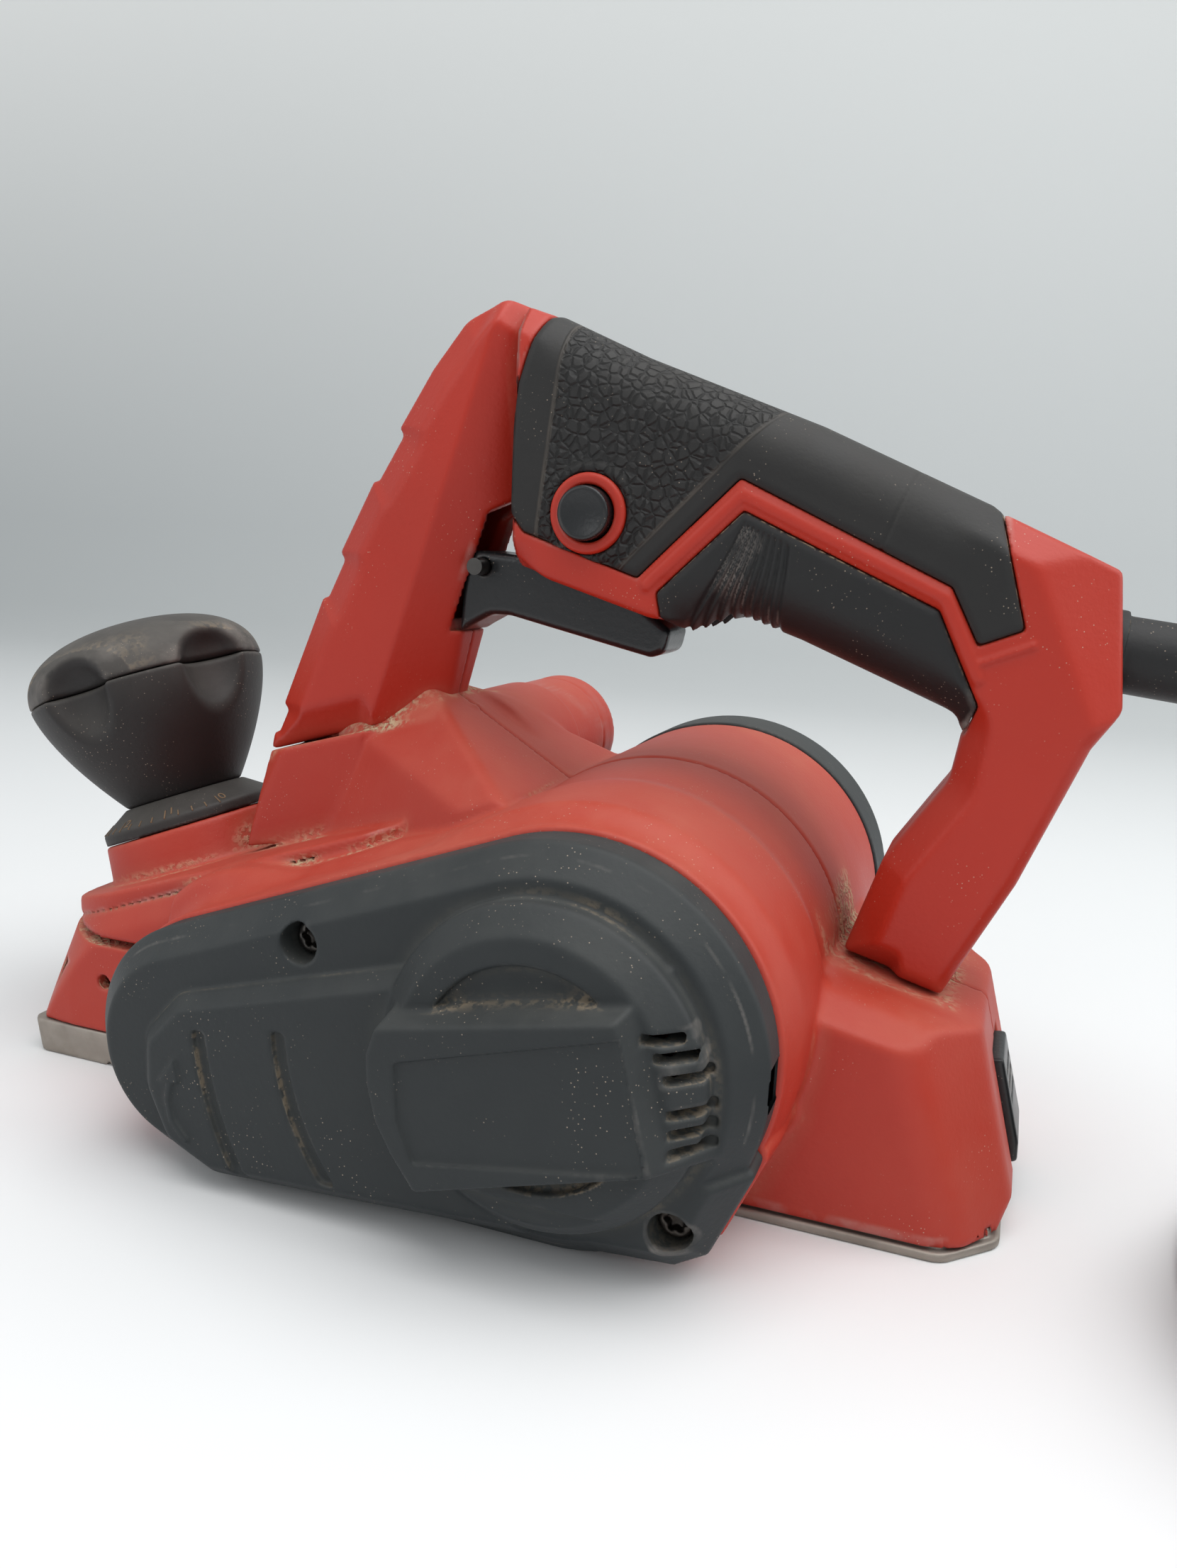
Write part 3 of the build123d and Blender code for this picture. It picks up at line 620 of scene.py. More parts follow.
# ---- the cord, its boot, tie and plug ----
BOOT_Z = 122.5
BOOT_WAY = Vector((-1, 0, -0.11)).normalized()
ROUTE = [
    (-0.139, 0, 0.1179), (-0.159, 0, 0.1157), (-0.177, -0.0066, 0.1055), (-0.190, -0.0126, 0.0886),
    (-0.201, -0.0126, 0.065), (-0.2063, -0.0035, 0.0434), (-0.2075, 0.0098, 0.0314),
    (-0.207, 0.0267, 0.0252), (-0.207, 0.0437, 0.0245),
]
TAIL = [
    (-0.123, 0.0437, 0.0035), (-0.123, 0.022, 0.0035), (-0.128, 0.001, 0.0039),
    (-0.141, -0.016, 0.006), (-0.160, -0.025, 0.0095), (-0.176, -0.027, 0.012),
]
COIL_CENTRE = (-0.165, 0.0437)
COIL_TURNS = (  # radius and height of each turn, in the order that the cord lies
    (0.042, 0.0245), (0.035, 0.0245), (0.035, 0.0175), (0.042, 0.0175),
    (0.042, 0.0105), (0.035, 0.0105), (0.035, 0.0035), (0.042, 0.0035),
)
POINTS_A_TURN = 16
PLUG_END = Vector(TAIL[-1])


def coil_points():
    """Points of the wound length.

    Each turn stops one point short, so that the steps between turns pass each other.
    """
    points = []
    swell = 1 / math.cos(math.pi / POINTS_A_TURN)
    for i in range(1, len(COIL_TURNS) * (POINTS_A_TURN - 1)):
        radius, height = COIL_TURNS[i // (POINTS_A_TURN - 1)]
        angle = math.pi - 2 * math.pi * i / POINTS_A_TURN
        points.append((
            COIL_CENTRE[0] + radius * swell * math.cos(angle),
            COIL_CENTRE[1] + radius * swell * math.sin(angle),
            height,
        ))
    return points


def make_cord():
    curve = bpy.data.curves.new("mains_cord", "CURVE")
    curve.dimensions = "3D"
    spline = curve.splines.new("NURBS")
    points = ROUTE + coil_points() + TAIL
    spline.points.add(len(points) - 1)
    for point, place in zip(spline.points, points):
        point.co = (*place, 1)
    spline.order_u = 3
    spline.use_endpoint_u = True
    spline.resolution_u = 8
    curve.bevel_depth = CORD_D / 2 * MM
    curve.bevel_resolution = 6
    curve.use_fill_caps = True
    cord = bpy.data.objects.new("mains_cord", curve)
    return finished(cord, MATERIAL["cord"], "root", ("cord_tube", "cord_coil", "cord_tail"))


def boot_shape(X, Y, Z):
    """Strain relief: a smooth sleeve, then a tapering stretch cut by ring grooves."""
    along = (X + 97) * BOOT_WAY.x + (Z - BOOT_Z) * BOOT_WAY.z
    across = np.sqrt(Y**2 + ((X + 97) * BOOT_WAY.z - (Z - BOOT_Z) * BOOT_WAY.x) ** 2)
    radius = 8 - 2.4 * np.clip((along - 15) / 26, 0, 1)
    shape = meet(across - radius, slab(along, -2.5, 42.2), 0.7)
    shape = join(shape, meet(across - 9, slab(along, -4.5, -1.0), 0.4))
    for k in range(5):
        groove = meet(slab(along, 19 + 4.4 * k, 20.9 + 4.4 * k), radius - 1.3 - across, 0.4)
        shape = cut(shape, groove, 0.4)
    return cut(shape, across - CORD_D / 2 + 0.1, 0.2)


def plug_shape(X, Y, Z):
    """Moulded two-pin plug with a waisted grip, lying with its pins towards -X."""
    px, py, pz = [1000 * c for c in PLUG_END]
    x = px - X
    width = 18 - 4.5 * step_up(x, 24, 6) - 1.4 * np.exp(-(((x - 19) / 6) ** 2))
    body = meet(meet(np.abs(Y - py) - width, np.abs(Z - 12) - 9.8, 6), slab(x, 6, 38), 2.2)
    for k in range(4):
        body = cut(body, meet(slab(x, 10 + 3.6 * k, 11.5 + 3.6 * k), 12.4 - np.abs(Y - py), 0.4), 0.4)
    from_lead = np.sqrt((Y - py) ** 2 + (Z - pz) ** 2)
    neck = meet(from_lead - 6 + 0.12 * np.clip(8 - x, 0, 8), slab(x, 0.2, 9), 0.8)
    return join(body, neck, 2)


def tie_shape(X, Y, Z):
    """Woven strap closed round the wound cord."""
    low, high = node_box("cord_tie")
    middle_y = (low[1] + high[1]) / 2
    x = X - (low[0] + high[0]) / 2
    outer = meet(np.abs(Y - middle_y) - 9, slab(Z, 0, high[2]), 2.2)
    inner = meet(np.abs(Y - middle_y) - 7.9, slab(Z, -1, high[2] - 0.95), 1.6)
    strap = cut(meet(outer, np.abs(x) - 4, 0.3), inner, 0.1)
    return strap


def make_cord_pieces():
    cord = make_cord()
    boot = solid("cable_boot_moulded", boot_shape, (-142, -9.5, 108), (-91, 9.5, 132), 0.5,
                 MATERIAL["grip"], "root", ["cable_boot"])
    low, high = node_box("plug")
    plug = solid("plug_moulded", plug_shape, low, (high[0] + 1, high[1], high[2]), 0.55,
                 MATERIAL["black"], "root", ["plug"])
    low, high = node_box("cord_tie")
    tie = solid("cord_strap", tie_shape, low, high, 0.35, MATERIAL["belt"], "root",
                ["cord_tie"])


# ---- main housing ----
POST_FOOT = [(100, 60), (110, 58), (104, 84), (51, 99.2), (46, 78), (60, 66)]
TONGUE = [(99, 70), (100.5, 86.1), (60, 97.9), (60, 80)]
REAR_BLOCK = [(-10, 2.3), (-85, 2.3), (-87.6, 8), (-77.8, 44.6, 3), (-45.6, 52.1, 2), (-10, 52.6)]
LEDGE = [(44, 66), (46.5, 77.2), (168, 36.6, 1), (168, 31.5), (75, 65)]
FLANK = [(60, 60), (66, 67.5), (161, 33.6), (161, 9.0), (100, 9.0)]
SEAM_GAP = 0.12


def radial(X, Z, x, z):
    return np.sqrt((X - x) ** 2 + (Z - z) ** 2)


def crease_side(X, Z):
    """Distance behind the crease that runs up the front post."""
    return (73.8 - X) * 0.946 - (Z - 93.4) * 0.325


def post_half(X, Z):
    """Half width of the front post: flat in front of its crease, falling away behind it."""
    return 17.0 - 0.82 * np.maximum(0, crease_side(X, Z))


def cover_rim(X, Z, grow=0.0):
    """The belt cover's outline, with the corner that holds its rear screw."""
    corner = outline([(8, 1.8), (-27, 4.6), (-33.5, 8.6), (-41.5, 27), (-20, 42)], X, Z, 1.5)
    return np.minimum(oval(X, Z, REAR_R, FRONT_R), corner) - grow


def gusset_shape(X, Y, Z):
    """Wedge that props the front post: a sloping top, a facet in front and a saddle behind."""
    y = np.abs(Y)
    top = 0.2275 * (X - 72) + 0.7126 * (y - 18) + 0.6635 * (Z - 90)
    front = 0.445 * (X - 72) + 0.870 * (y - 18) + 0.214 * (Z - 90)
    saddle = (Z - 98.9 + 0.60 * (52 - X)) * 0.857
    wedge = meet(meet(top, front, 0.7), meet(saddle, 58 - Z, 0.5), 2.0)
    return meet(meet(wedge, y - 38, 1), slab(X, 26, 90), 0.5)


def block_corner(X, Y, Z):
    """The wide cut corner, from where the side face ends to the rear face."""
    return (-0.42 * (X + 74) + 0.90 * (np.abs(Y) - 40.2) + 0.115 * (Z - 1.3))


def rear_crease(X, Y, Z):
    return (-0.80 * (X + 84.6) + 0.56 * (np.abs(Y) - 30) + 0.235 * (Z - 1.7))


def sole_room(X, Y, Z):
    """What the rear sole takes out of the housing: its upper part goes up inside the housing's lip."""
    inner = meet(meet(np.abs(Y) - SOLE_HALF + 1.9, SOLE_REAR + 1.9 - X), (-X + np.abs(Y) - 113.6) * 0.707)
    return meet(np.minimum(inner, 60 - X), Z - 4.3)


def ledge_plan(X, Y):
    """Distance outside the ledge's outline from above, which is round in front."""
    return np.sqrt((np.maximum(0, X - 134) * 1.15) ** 2 + Y**2) - 38.0


def flank_shape(X, Y, Z):
    """The body's sloping flank under the ledge. The front shoe carries its lower part."""
    below = 38.7 + (147.7 - X) * 0.362 - Z
    slope = (ledge_plan(X, Y) * 0.9 - 0.40 * below) * 0.93
    side = np.abs(Y) - 41 + np.maximum(0, X - 149) * 0.10
    shape = meet(outline(FLANK, X, Z, 0.5), side, 0.6)
    return meet(shape, slope, 0.6)


def housing_outer(X, Y, Z):
    from_barrel = radial(X, Z, MOTOR_X, BARREL_Z)
    wall = BARREL_R - (BARREL_R - REAR_R - 1.0) * step_up(Y, 0, 50) - 0.3 * step_up(Y, -0.4, 0.0)
    barrel = meet(from_barrel - wall, slab(Y, -60, 52), 0.8)
    belt_box = meet(cover_rim(X, Z, 0.9), slab(Y, 30, COVER_Y0), 0.8)
    wing = outline([(0, 8), (0, 80), (50, 70), (108, 46, 4), (111, 36), (108, 4.5)], X, Z, 1.5)
    wing = meet(wing, slab(Y, -41, 44), 4)
    body = join(barrel, wing, 9)
    drum_cover = meet(meet(radial(X, Z, DRUM_X, DRUM_Z) - 33.2, slab(Y, -44, 46), 3), X - 111)
    body = join(body, drum_cover, 5)
    body = join(body, belt_box, 8)
    ledge = meet(outline(LEDGE, X, Z), ledge_plan(X, Y) * 0.9, 0.7)
    ledge = meet(ledge, (X - 61) * -0.8 + 0.6 * (np.abs(Y) - 38), 0.5)
    body = join(body, meet(flank_shape(X, Y, Z), 35.3 - Z, 0.3), 0.6)
    body = join(body, meet(ledge, 35.3 - Z, 0.4), 0.7)
    body = join(body, gusset_shape(X, Y, Z), 1.2)
    post = meet(outline(POST_FOOT, X, Z, 0.4), np.abs(Y) - post_half(X, Z) - 0.4, 0.7)
    post = meet(post, (0.91 * (X - 106) + 0.41 * (Z - 84)) * 0.548 + (np.abs(Y) - 17) * 0.837 + 3.2, 0.6)
    body = join(body, post, 0.9)
    body = np.minimum(body, meet(outline(TONGUE, X, Z), np.abs(Y) - 4.5))
    y = np.abs(Y)
    block = meet(outline(REAR_BLOCK, X, Z, 0.8), y - 40.4, 0.5)
    shoulder = 0.60 * (y - 40.4) + 0.77 * (Z - 47.0 - 0.27 * (X + 46)) + 0.21 * (Z - 47)
    block = meet(block, shoulder, 0.9)
    body = join(body, meet(meet(block, block_corner(X, Y, Z), 1.0), rear_crease(X, Y, Z), 1.0), 2)
    body = join(body, meet(radial(X, Z, OUTLET_X, OUTLET_Z) - 18, slab(Y, -42, -10), 0.6), 3)
    bearing_boss = meet(radial(X, Z, DRUM_X, DRUM_Z) - 17, slab(Y, -52, -40), 1)
    body = join(body, bearing_boss, 3)
    height, u, v = knob_frame(X, Y, Z)
    rho = np.sqrt(u**2 + v**2)
    boss = meet(rho - 24.4 - 0.12 * (-41.4 - height), slab(height, -62, -41.5), 0.9)
    body = join(body, meet(boss, 35.3 - Z), 1.2)
    return cut(meet(body, 2.3 - Z, 0.3), sole_room(X, Y, Z), 0.2)


def housing_shape(X, Y, Z):
    body = housing_outer(X, Y, Z)
    from_motor = radial(X, Z, MOTOR_X, MOTOR_Z)
    from_drum = radial(X, Z, DRUM_X, DRUM_Z)
    hollows = [
        meet(from_motor - 41.9, slab(Y, -61, -34)), meet(from_motor - 38.1, slab(Y, -35, 15)),
        meet(from_motor - 40.6, slab(Y, 14, 41)), meet(from_motor - 11.1, slab(Y, 40, 53)),
        meet(oval(X, Z, REAR_R - 3, FRONT_R - 2), slab(Y, 52, 64)),
        meet(from_drum - 30.6, slab(Y, -42.6, 42.6)), meet(from_drum - 13.1, slab(Y, -50, 54)),
        meet(slab(X, DRUM_X - 22, 113), meet(slab(Y, -38.2, 38.2), slab(Z, -1, DRUM_Z))),
        meet(radial(X, Z, OUTLET_X, OUTLET_Z) - 15, slab(Y, -60, -19)),
        meet(outline([(49, 66), (66, 64), (92, 50), (72, 44)], X, Z), slab(Y, -35, 30)),
        meet(outline([(46, 62), (68, 62), (66, 76), (46, 76)], X, Z), slab(Y, -35, -19)),
        meet(meet(outline([(-28, 5), (-80, 5), (-82, 9), (-73, 39), (-44, 46)], X, Z), slab(Y, -36, 36)),
             np.maximum(block_corner(X, Y, Z), rear_crease(X, Y, Z)) + 3.5),
        meet(outline([(56, 84), (62, 96.5), (96, 86), (104, 66), (98, 62)], X, Z), slab(Y, -12, 12)),
        meet(slab(X, 110.5, 172), meet(slab(Y, -42, 42), slab(Z, -5, 35.2))),
        meet(slab(X, -95, -72.8), meet(slab(Y, -9.6, 9.6), slab(Z, -5, 34.2))),
    ]
    height, u, v = knob_frame(X, Y, Z)
    hollows.append(meet(np.sqrt(u**2 + v**2) - 7.5, slab(height, -80, -40)))
    hollow = hollows[0]
    for more in hollows[1:]:
        hollow = np.minimum(hollow, more)
    for x, z in COVER_SCREWS:
        hollow = np.maximum(hollow, 4.5 - radial(X, Z, x, z))
    return cut(body, hollow, 0.35)


def make_housing():
    for side, word in ((1, "left"), (-1, "right")):
        low_y, high_y = (-1, COVER_Y0) if side > 0 else (-61, 1)
        solid(f"housing_{word}_shell", lambda X, Y, Z: meet(housing_shape(X, Y, Z), SEAM_GAP - side * Y, 0.3),
              (-88, low_y, 1.8), (169, high_y, 104), 0.85, MATERIAL["red"], "root",
              [f"housing_{word}"], near=handle_posts)


# ---- handle ----
HANDLE = [
    (106, 83.7), (105.0, 88.3), (103.3, 89.1), (100.6, 94.8), (101.9, 96.4), (90.0, 124.2), (88.3, 124.7),
    (83.6, 134.0), (84.9, 135.6), (75.5, 153), (73.9, 153.4), (67.3, 163.9), (68.5, 165.4), (59.6, 179, 8),
    (51, 189.4, 8), (41, 194, 4), (31, 190.9, 5), (8, 181, 20), (-32, 166.5, 20), (-68, 151, 4),
    (-94, 139.5, 2),
    (-97, 112, 3), (-92, 104, 2), (-81, 74), (-68.3, 47.3), (-46.3, 53.1), (-49, 62, 6), (-53, 75, 6),
    (-65, 94, 10), (-67, 108, 5), (-31, 122, 6), (-17, 126.5, 6), (-7, 121.8, 5), (3, 125, 5), (44, 137, 6),
    (50.5, 128, 6), (57.6, 98.0),
]
UPPER_PAD = [
    (27, 200), (35.2, 175), (38.3, 149, 3), (33, 142.6), (5.2, 133.6), (-17, 155.6), (-62.3, 135.0),
    (-68.4, 123.6), (-76.8, 127.2), (-67, 160),
]
LOWER_PAD = [
    (0.4, 130.3), (-18.2, 148.5), (-60, 130.0), (-69.4, 111), (-67.2, 104.5, 3), (-30, 104), (-3, 112),
]
RIDGE = [(2.8, 132.0), (-17.7, 152.1), (-61.2, 132.5), (-68.9, 116.8)]
END_RIDGE = [(-68.9, 119.8), (-79.0, 124.2)]
HALF = 16.6


def in_grip(X, Z):
    """One along the hand grip, nothing on the posts."""
    return step_up(X, -72, -58) * (1 - step_up(X, 26, 40)) * step_up(Z, 88, 104)


def handle_skin(X, Y, Z):
    flat = outline(HANDLE, X, Z, 1.0)
    front = step_up(X, 38, 46)
    half = np.where(X > 36, np.minimum(HALF, post_half(X, Z) - 0.4), HALF)
    side = np.abs(Y) - half
    ahead = 1 - step_up(crease_side(X, Z), -5, 3)
    inner = step_up(X + 57.7 + (Z - 50) * 0.42, -2, 2)
    wide = flat * 0.548 + side * 0.837 + 4.4 * ahead + 0.6 * (1 - ahead)
    even = (flat + side) * math.sqrt(0.5) + 1.7 + 2.6 * inner
    posts = meet(meet(flat, side, 0.5), wide * front + even * (1 - front), 0.7)
    beyond = -0.909 * (X + 81.2) + 0.416 * (Z - 133) + 0.4
    head = (0.62 * np.maximum(beyond, -8) + np.abs(Y) - HALF) * 0.85
    posts = meet(posts, head, 0.6)
    crisp = meet(flat, side - 0.2, 1.6)
    grip = meet(flat, side - 0.35, 11.5)
    above = Z - 125 - 0.2927 * (X - 3)
    low = step_up(X, -9, 3) * (1 - step_up(above, 5, 20))
    grip = grip * (1 - low) + crisp * low
    share = in_grip(X, Z)
    return posts * (1 - share) + grip * share


def trigger_room(X, Y, Z):
    room = outline([(55, 142), (56, 118), (36, 118), (-12, 108), (-16, 131), (40, 150)], X, Z)
    return meet(room, np.abs(Y) - 8.5)


def handle_shape(X, Y, Z):
    skin = handle_skin(X, Y, Z)
    raised = np.minimum(stroke(RIDGE, X, Z) - 1.25, stroke(END_RIDGE, X, Z) - 0.5)
    lift = 0.75 * (1 - step_up(raised, -0.35, 0.55)) * step_up(np.abs(Y), 3, 9)
    shape = skin - lift
    seat = np.minimum(outline(UPPER_PAD, X, Z), outline(LOWER_PAD, X, Z)) - 0.25
    shape = cut(shape, meet(seat, -(skin + 2.4), 0.0), 0.3)
    inner = meet(skin + 4.0, np.maximum(Z - 184, 54 - Z))
    shape = cut(shape, inner, 0.0)
    shape = cut(shape, trigger_room(X, Y, Z), 0.5)
    shape = cut(shape, meet(radial(X, Z, BUTTON_X, BUTTON_Z) - 9.05, 8 - Y), 0.0)
    boot_hole = np.sqrt(Y**2 + (Z - BOOT_Z) ** 2) - 8.15
    shape = cut(shape, meet(boot_hole, X + 86), 0.3)
    shape = cut(shape, meet(outline(TONGUE, X, Z) - 0.2, np.abs(Y) - 4.7), 0.1)
    for x, z in ((93, 96), (50, 186), (-80, 139), (-59.5, 62)):
        hole = meet(radial(X, Z, x, z) - 3.7, Y + 12.5)
        shape = cut(shape, hole, 0.4)
    return shape


def handle_posts(X, Y, Z):
    """The handle with no detail, for judging how sheltered the housing is beside it."""
    return meet(outline(HANDLE, X, Z), np.abs(Y) - HALF)


def make_handle():
    for side, word in ((1, "left"), (-1, "right")):
        low_y, high_y = (-1, 18) if side > 0 else (-18, 1)
        solid(f"handle_{word}_shell", lambda X, Y, Z: meet(handle_shape(X, Y, Z), SEAM_GAP - side * Y, 0.25),
              (-98.5, low_y, 46.5), (107, high_y, 195), 0.62, MATERIAL["red_clean"], "root",
              [f"handle_{word}"], near=housing_outer)


def pad_skin(X, Y, Z, region, thick=2.2):
    skin = handle_skin(X, Y, Z)
    proud = 0.55 - 0.45 * step_up(region, -1.6, -0.1)
    return meet(meet(skin - proud, -(skin + thick)), region, 0.35)


def upper_pad(X, Y, Z):
    region = outline(UPPER_PAD, X, Z, 1.2)
    skin = pad_skin(X, Y, Z, region)
    strip = meet((0.98 * (X + 53.5) + 0.34 * (Z - 157.5)), 1.0 - 0.98 * (X + 53.5) - 0.34 * (Z - 157.5))
    skin = skin + 0.28 * (1 - step_up(np.abs(strip - 0.3), 0.2, 0.9)) * step_up(np.abs(Y), 4, 9)
    skin = cut(skin, meet(radial(X, Z, BUTTON_X, BUTTON_Z) - 9.1, 8 - Y), 0.3)
    collar = np.abs(radial(X, Z, BUTTON_X, BUTTON_Z) - 10.2)
    return skin - 0.45 * (1 - step_up(collar, 0.2, 1.6)) * (Y > 0)


def lower_pad(X, Y, Z):
    region = outline(LOWER_PAD, X, Z, 1.2)
    skin = pad_skin(X, Y, Z, region)
    down = np.clip((146 - Z) / 21, 0, 1.3)
    share = ((-18.0 + 12 * down - 3.0 * down * (1 - down)) - X) / (10.5 + 10.6 * down)
    wave = 0.5 - 0.5 * np.cos(share * 9 * 2 * math.pi)
    ribs = 0.85 * wave * (1 - step_up(np.abs(share - 0.5), 0.49, 0.51)) * (1 - step_up(region, -2.6, -1.2))
    return cut(skin + ribs, trigger_room(X, Y, Z), 0.3)


def make_pads():
    for name, shape, low, high, skin in (
        ("upper", upper_pad, (-79, 0, 121), (41, 18.2, 194), "grain"),
        ("lower", lower_pad, (-71, 0, 103), (2.5, 18.2, 151), "grip"),
    ):
        for side, word in ((1, "left"), (-1, "right")):
            box_low = (low[0], -0.5 if side > 0 else -high[1], low[2])
            box_high = (high[0], high[1] if side > 0 else 0.5, high[2])
            solid(f"grip_{name}_{word}_moulded",
                  lambda X, Y, Z: meet(shape(X, Y, Z), SEAM_GAP - side * Y, 0.15), box_low, box_high, 0.45,
                  MATERIAL[skin], "root", [f"grip_pad_{name}_{word}"], near=handle_shape)


# ---- trigger and lock button ----
TRIGGER = [
    (52, 138, 4), (53.4, 117.6, 1), (50.5, 119.5, 2), (45, 122.6, 5), (40, 122.6, 5), (4, 115, 3),
    (0.5, 116.3, 3), (-0.6, 121.5, 2), (8, 128), (38, 137),
]


def trigger_shape(X, Y, Z):
    shape = meet(outline(TRIGGER, X, Z, 1.0), np.abs(Y) - 8, 1.8)
    pin = radial(X, Z, TRIGGER_X, TRIGGER_Z) - 2.05
    return cut(shape, pin, 0.2)


def make_trigger():
    low, high = node_box("trigger")
    low, high = (low[0] - 1, low[1], low[2] - 1), (high[0] + 1, high[1], high[2])
    solid("trigger_moulded", trigger_shape, low, high, 0.42,
          MATERIAL["black"], "trigger", ["trigger"])


def button_shape(X, Y, Z):
    r = radial(X, Z, BUTTON_X, BUTTON_Z)
    low, high = node_box("lock_button")
    dish = (high[1] - 0.5 * (1 - np.clip(r / 5, 0, 1) ** 2)) - Y
    stem = meet(meet(r - 6, low[1] + 1 - Y), -dish, 0.7)
    return np.minimum(stem, meet(r - 7.2, slab(Y, low[1], low[1] + 1.5), 0.3))


def ring_shape(X, Y, Z):
    r = radial(X, Z, BUTTON_X, BUTTON_Z)
    low, high = node_box("button_ring")
    return cut(meet(r - 8.95, slab(Y, low[1], high[1]), 1.0), r - 6.35, 0.6)


def make_button():
    low, high = node_box("lock_button")
    solid("lock_button_moulded", button_shape, low, high, 0.3, MATERIAL["black"], "button",
          ["lock_button"])
    low, high = node_box("button_ring")
    solid("button_collar", ring_shape, low, high, 0.3, MATERIAL["red_clean"], "root",
          ["button_ring"])


# ---- belt cover ----
TRACK = [
    (0, 63), (29, 58.4), (83, 43.2, 7), (92.4, 33.0, 7), (92.6, 21, 8), (87, 8.5, 8), (75, 3.2, 7),
    (46, 4.8), (0, 8),
]
ARROW = [(83.2, 24.5), (84.0, 20.0), (83.0, 15.5), (79.6, 11.6)]
ARROW_HEAD = [(81.8, 30.0), (80.6, 24.4), (86.2, 24.0)]
PLATE_END = [
    (27.8, 51.5), (29.9, 45), (29.6, 39), (27.8, 32), (24.4, 26), (18.6, 18.2), (-41, 18), (-41, 75),
    (20, 75),
]
NAME_FIELD = [(23.8, 44.6), (-19.6, 57.4), (-25.6, 33.2), (19.6, 25.2), (23, 33)]
FACE_Y, TRACK_Y, DISC_Y = COVER_Y1 - 15.0, COVER_Y1 - 10.7, COVER_Y1 - 5.6
PLATE_Y = COVER_Y1 - 1.0
VENTS = ((-22.9, 56.6), (-25.2, 53.4), (-27.2, 49.6), (-28.2, 43.2), (-28.5, 39.3), (-28.7, 35.6))


def plate_shape(X, Y, Z):
    """Raised panel across the disc: its sides flare and its vented rear side slopes down to the face."""
    drop = PLATE_Y - Y
    top = (Z - 50.6 + 0.205 * (X - 27.8) - 0.42 * drop) * 0.91
    foot = (19.4 - 0.303 * (X - 19.3) - 0.26 * drop - Z) * 0.93
    rear = (-18.6 + 0.286 * (Z - 60.4) - 0.62 * drop - X) * 0.82
    plan = meet(meet(top, foot, 0.4), rear, 0.4)
    plan = meet(plan, outline(PLATE_END, X, Z), 0.6)
    return meet(meet(plan, Y - PLATE_Y, 0.6), FACE_Y - 2 - Y)


def cover_shape(X, Y, Z):
    rim = cover_rim(X, Z)
    from_motor = radial(X, Z, COVER_REAR[0], COVER_REAR[1])
    shape = bevel(rim, Y - FACE_Y, 6.0, 0.4)
    track = bevel(outline(TRACK, X, Z, 2), Y - TRACK_Y, 3.4, 0.4)
    for r, low, high in ((57.4, 9.0, 40.5), (77.4, 5.5, 37.0)):
        groove = meet(np.abs(from_motor - r) - 1.5, slab(Z, low, high), 1.0)
        track = cut(track, meet(groove, TRACK_Y - 1.5 - Y, 0.3), 0.5)
    arrow = np.minimum(stroke(ARROW, X, Z) - 0.8, outline(ARROW_HEAD, X, Z))
    track = join(track, meet(arrow, Y - TRACK_Y - 0.7, 0.3), 0.3)
    shape = join(shape, meet(track, COVER_Y0 + 2 - Y), 0.6)
    disc = bevel(from_motor - 32.6, Y - DISC_Y, 5.2, 0.5)
    disc = cut(disc, meet(from_motor - 22.0, DISC_Y - 2.4 - Y, 0.3), 0.6)
    slot = meet(meet(slab(Z, 15.5, 19.5), slab(X, -19, 12)), DISC_Y - 1.6 - Y)
    shape = join(shape, cut(disc, slot, 0.4), 0.6)
    shape = join(shape, plate_shape(X, Y, Z), 0.5)
    shape = cut(shape, meet(outline(NAME_FIELD, X, Z, 0.6), PLATE_Y - 0.8 - Y, 0.2), 0.25)
    for x, z in VENTS:
        slot = meet(meet(slab(X, x - 6.4, x + 0.6), slab(Z, z - 1.0, z + 1.0), 0.4), FACE_Y - 1.0 - Y)
        shape = cut(shape, slot, 0.3)
    shape = meet(shape, COVER_Y0 - Y, 0.4)
    inside = np.minimum(
        meet(oval(X, Z, REAR_R - 4.0, FRONT_R - 4.0), Y - FACE_Y + 5.0),
        meet(from_motor - 27, Y - DISC_Y + 5.0),
    )
    for x, z in COVER_SCREWS:
        from_screw = radial(X, Z, x, z)
        inside = np.maximum(inside, 6.4 - from_screw)
    shape = cut(shape, inside, 0.0)
    for x, z in COVER_SCREWS:
        shape = cut(shape, meet(radial(X, Z, x, z) - 4.3, COVER_Y0 + 5 - Y), 0.4)
    return shape


def make_belt_cover():
    low, high = node_box("belt_cover")
    solid("belt_cover_moulded", cover_shape, low, high, 0.52, MATERIAL["slate"], "root",
          ["belt_cover"])
    low, high = node_box("cover_screws")

    def screws(X, Y, Z):
        shape = None
        for x, z in COVER_SCREWS:
            r = radial(X, Z, x, z)
            head = meet(r - 3.6, slab(Y, COVER_Y0 + 5.1, COVER_Y0 + 9), 0.8)
            angle = np.arctan2(Z - z, X - x)
            star = meet(r - 2.0 - 0.45 * np.cos(6 * angle), COVER_Y0 + 7.0 - Y)
            screw = np.minimum(cut(head, star, 0.15), meet(r - 1.8, slab(Y, low[1], COVER_Y0 + 6)))
            shape = screw if shape is None else np.minimum(shape, screw)
        return shape

    high = (high[0], COVER_Y0 + 9, high[2])
    solid("cover_screw_heads", screws, low, high, 0.4, MATERIAL["dark_steel"], "root",
          ["cover_screws"])


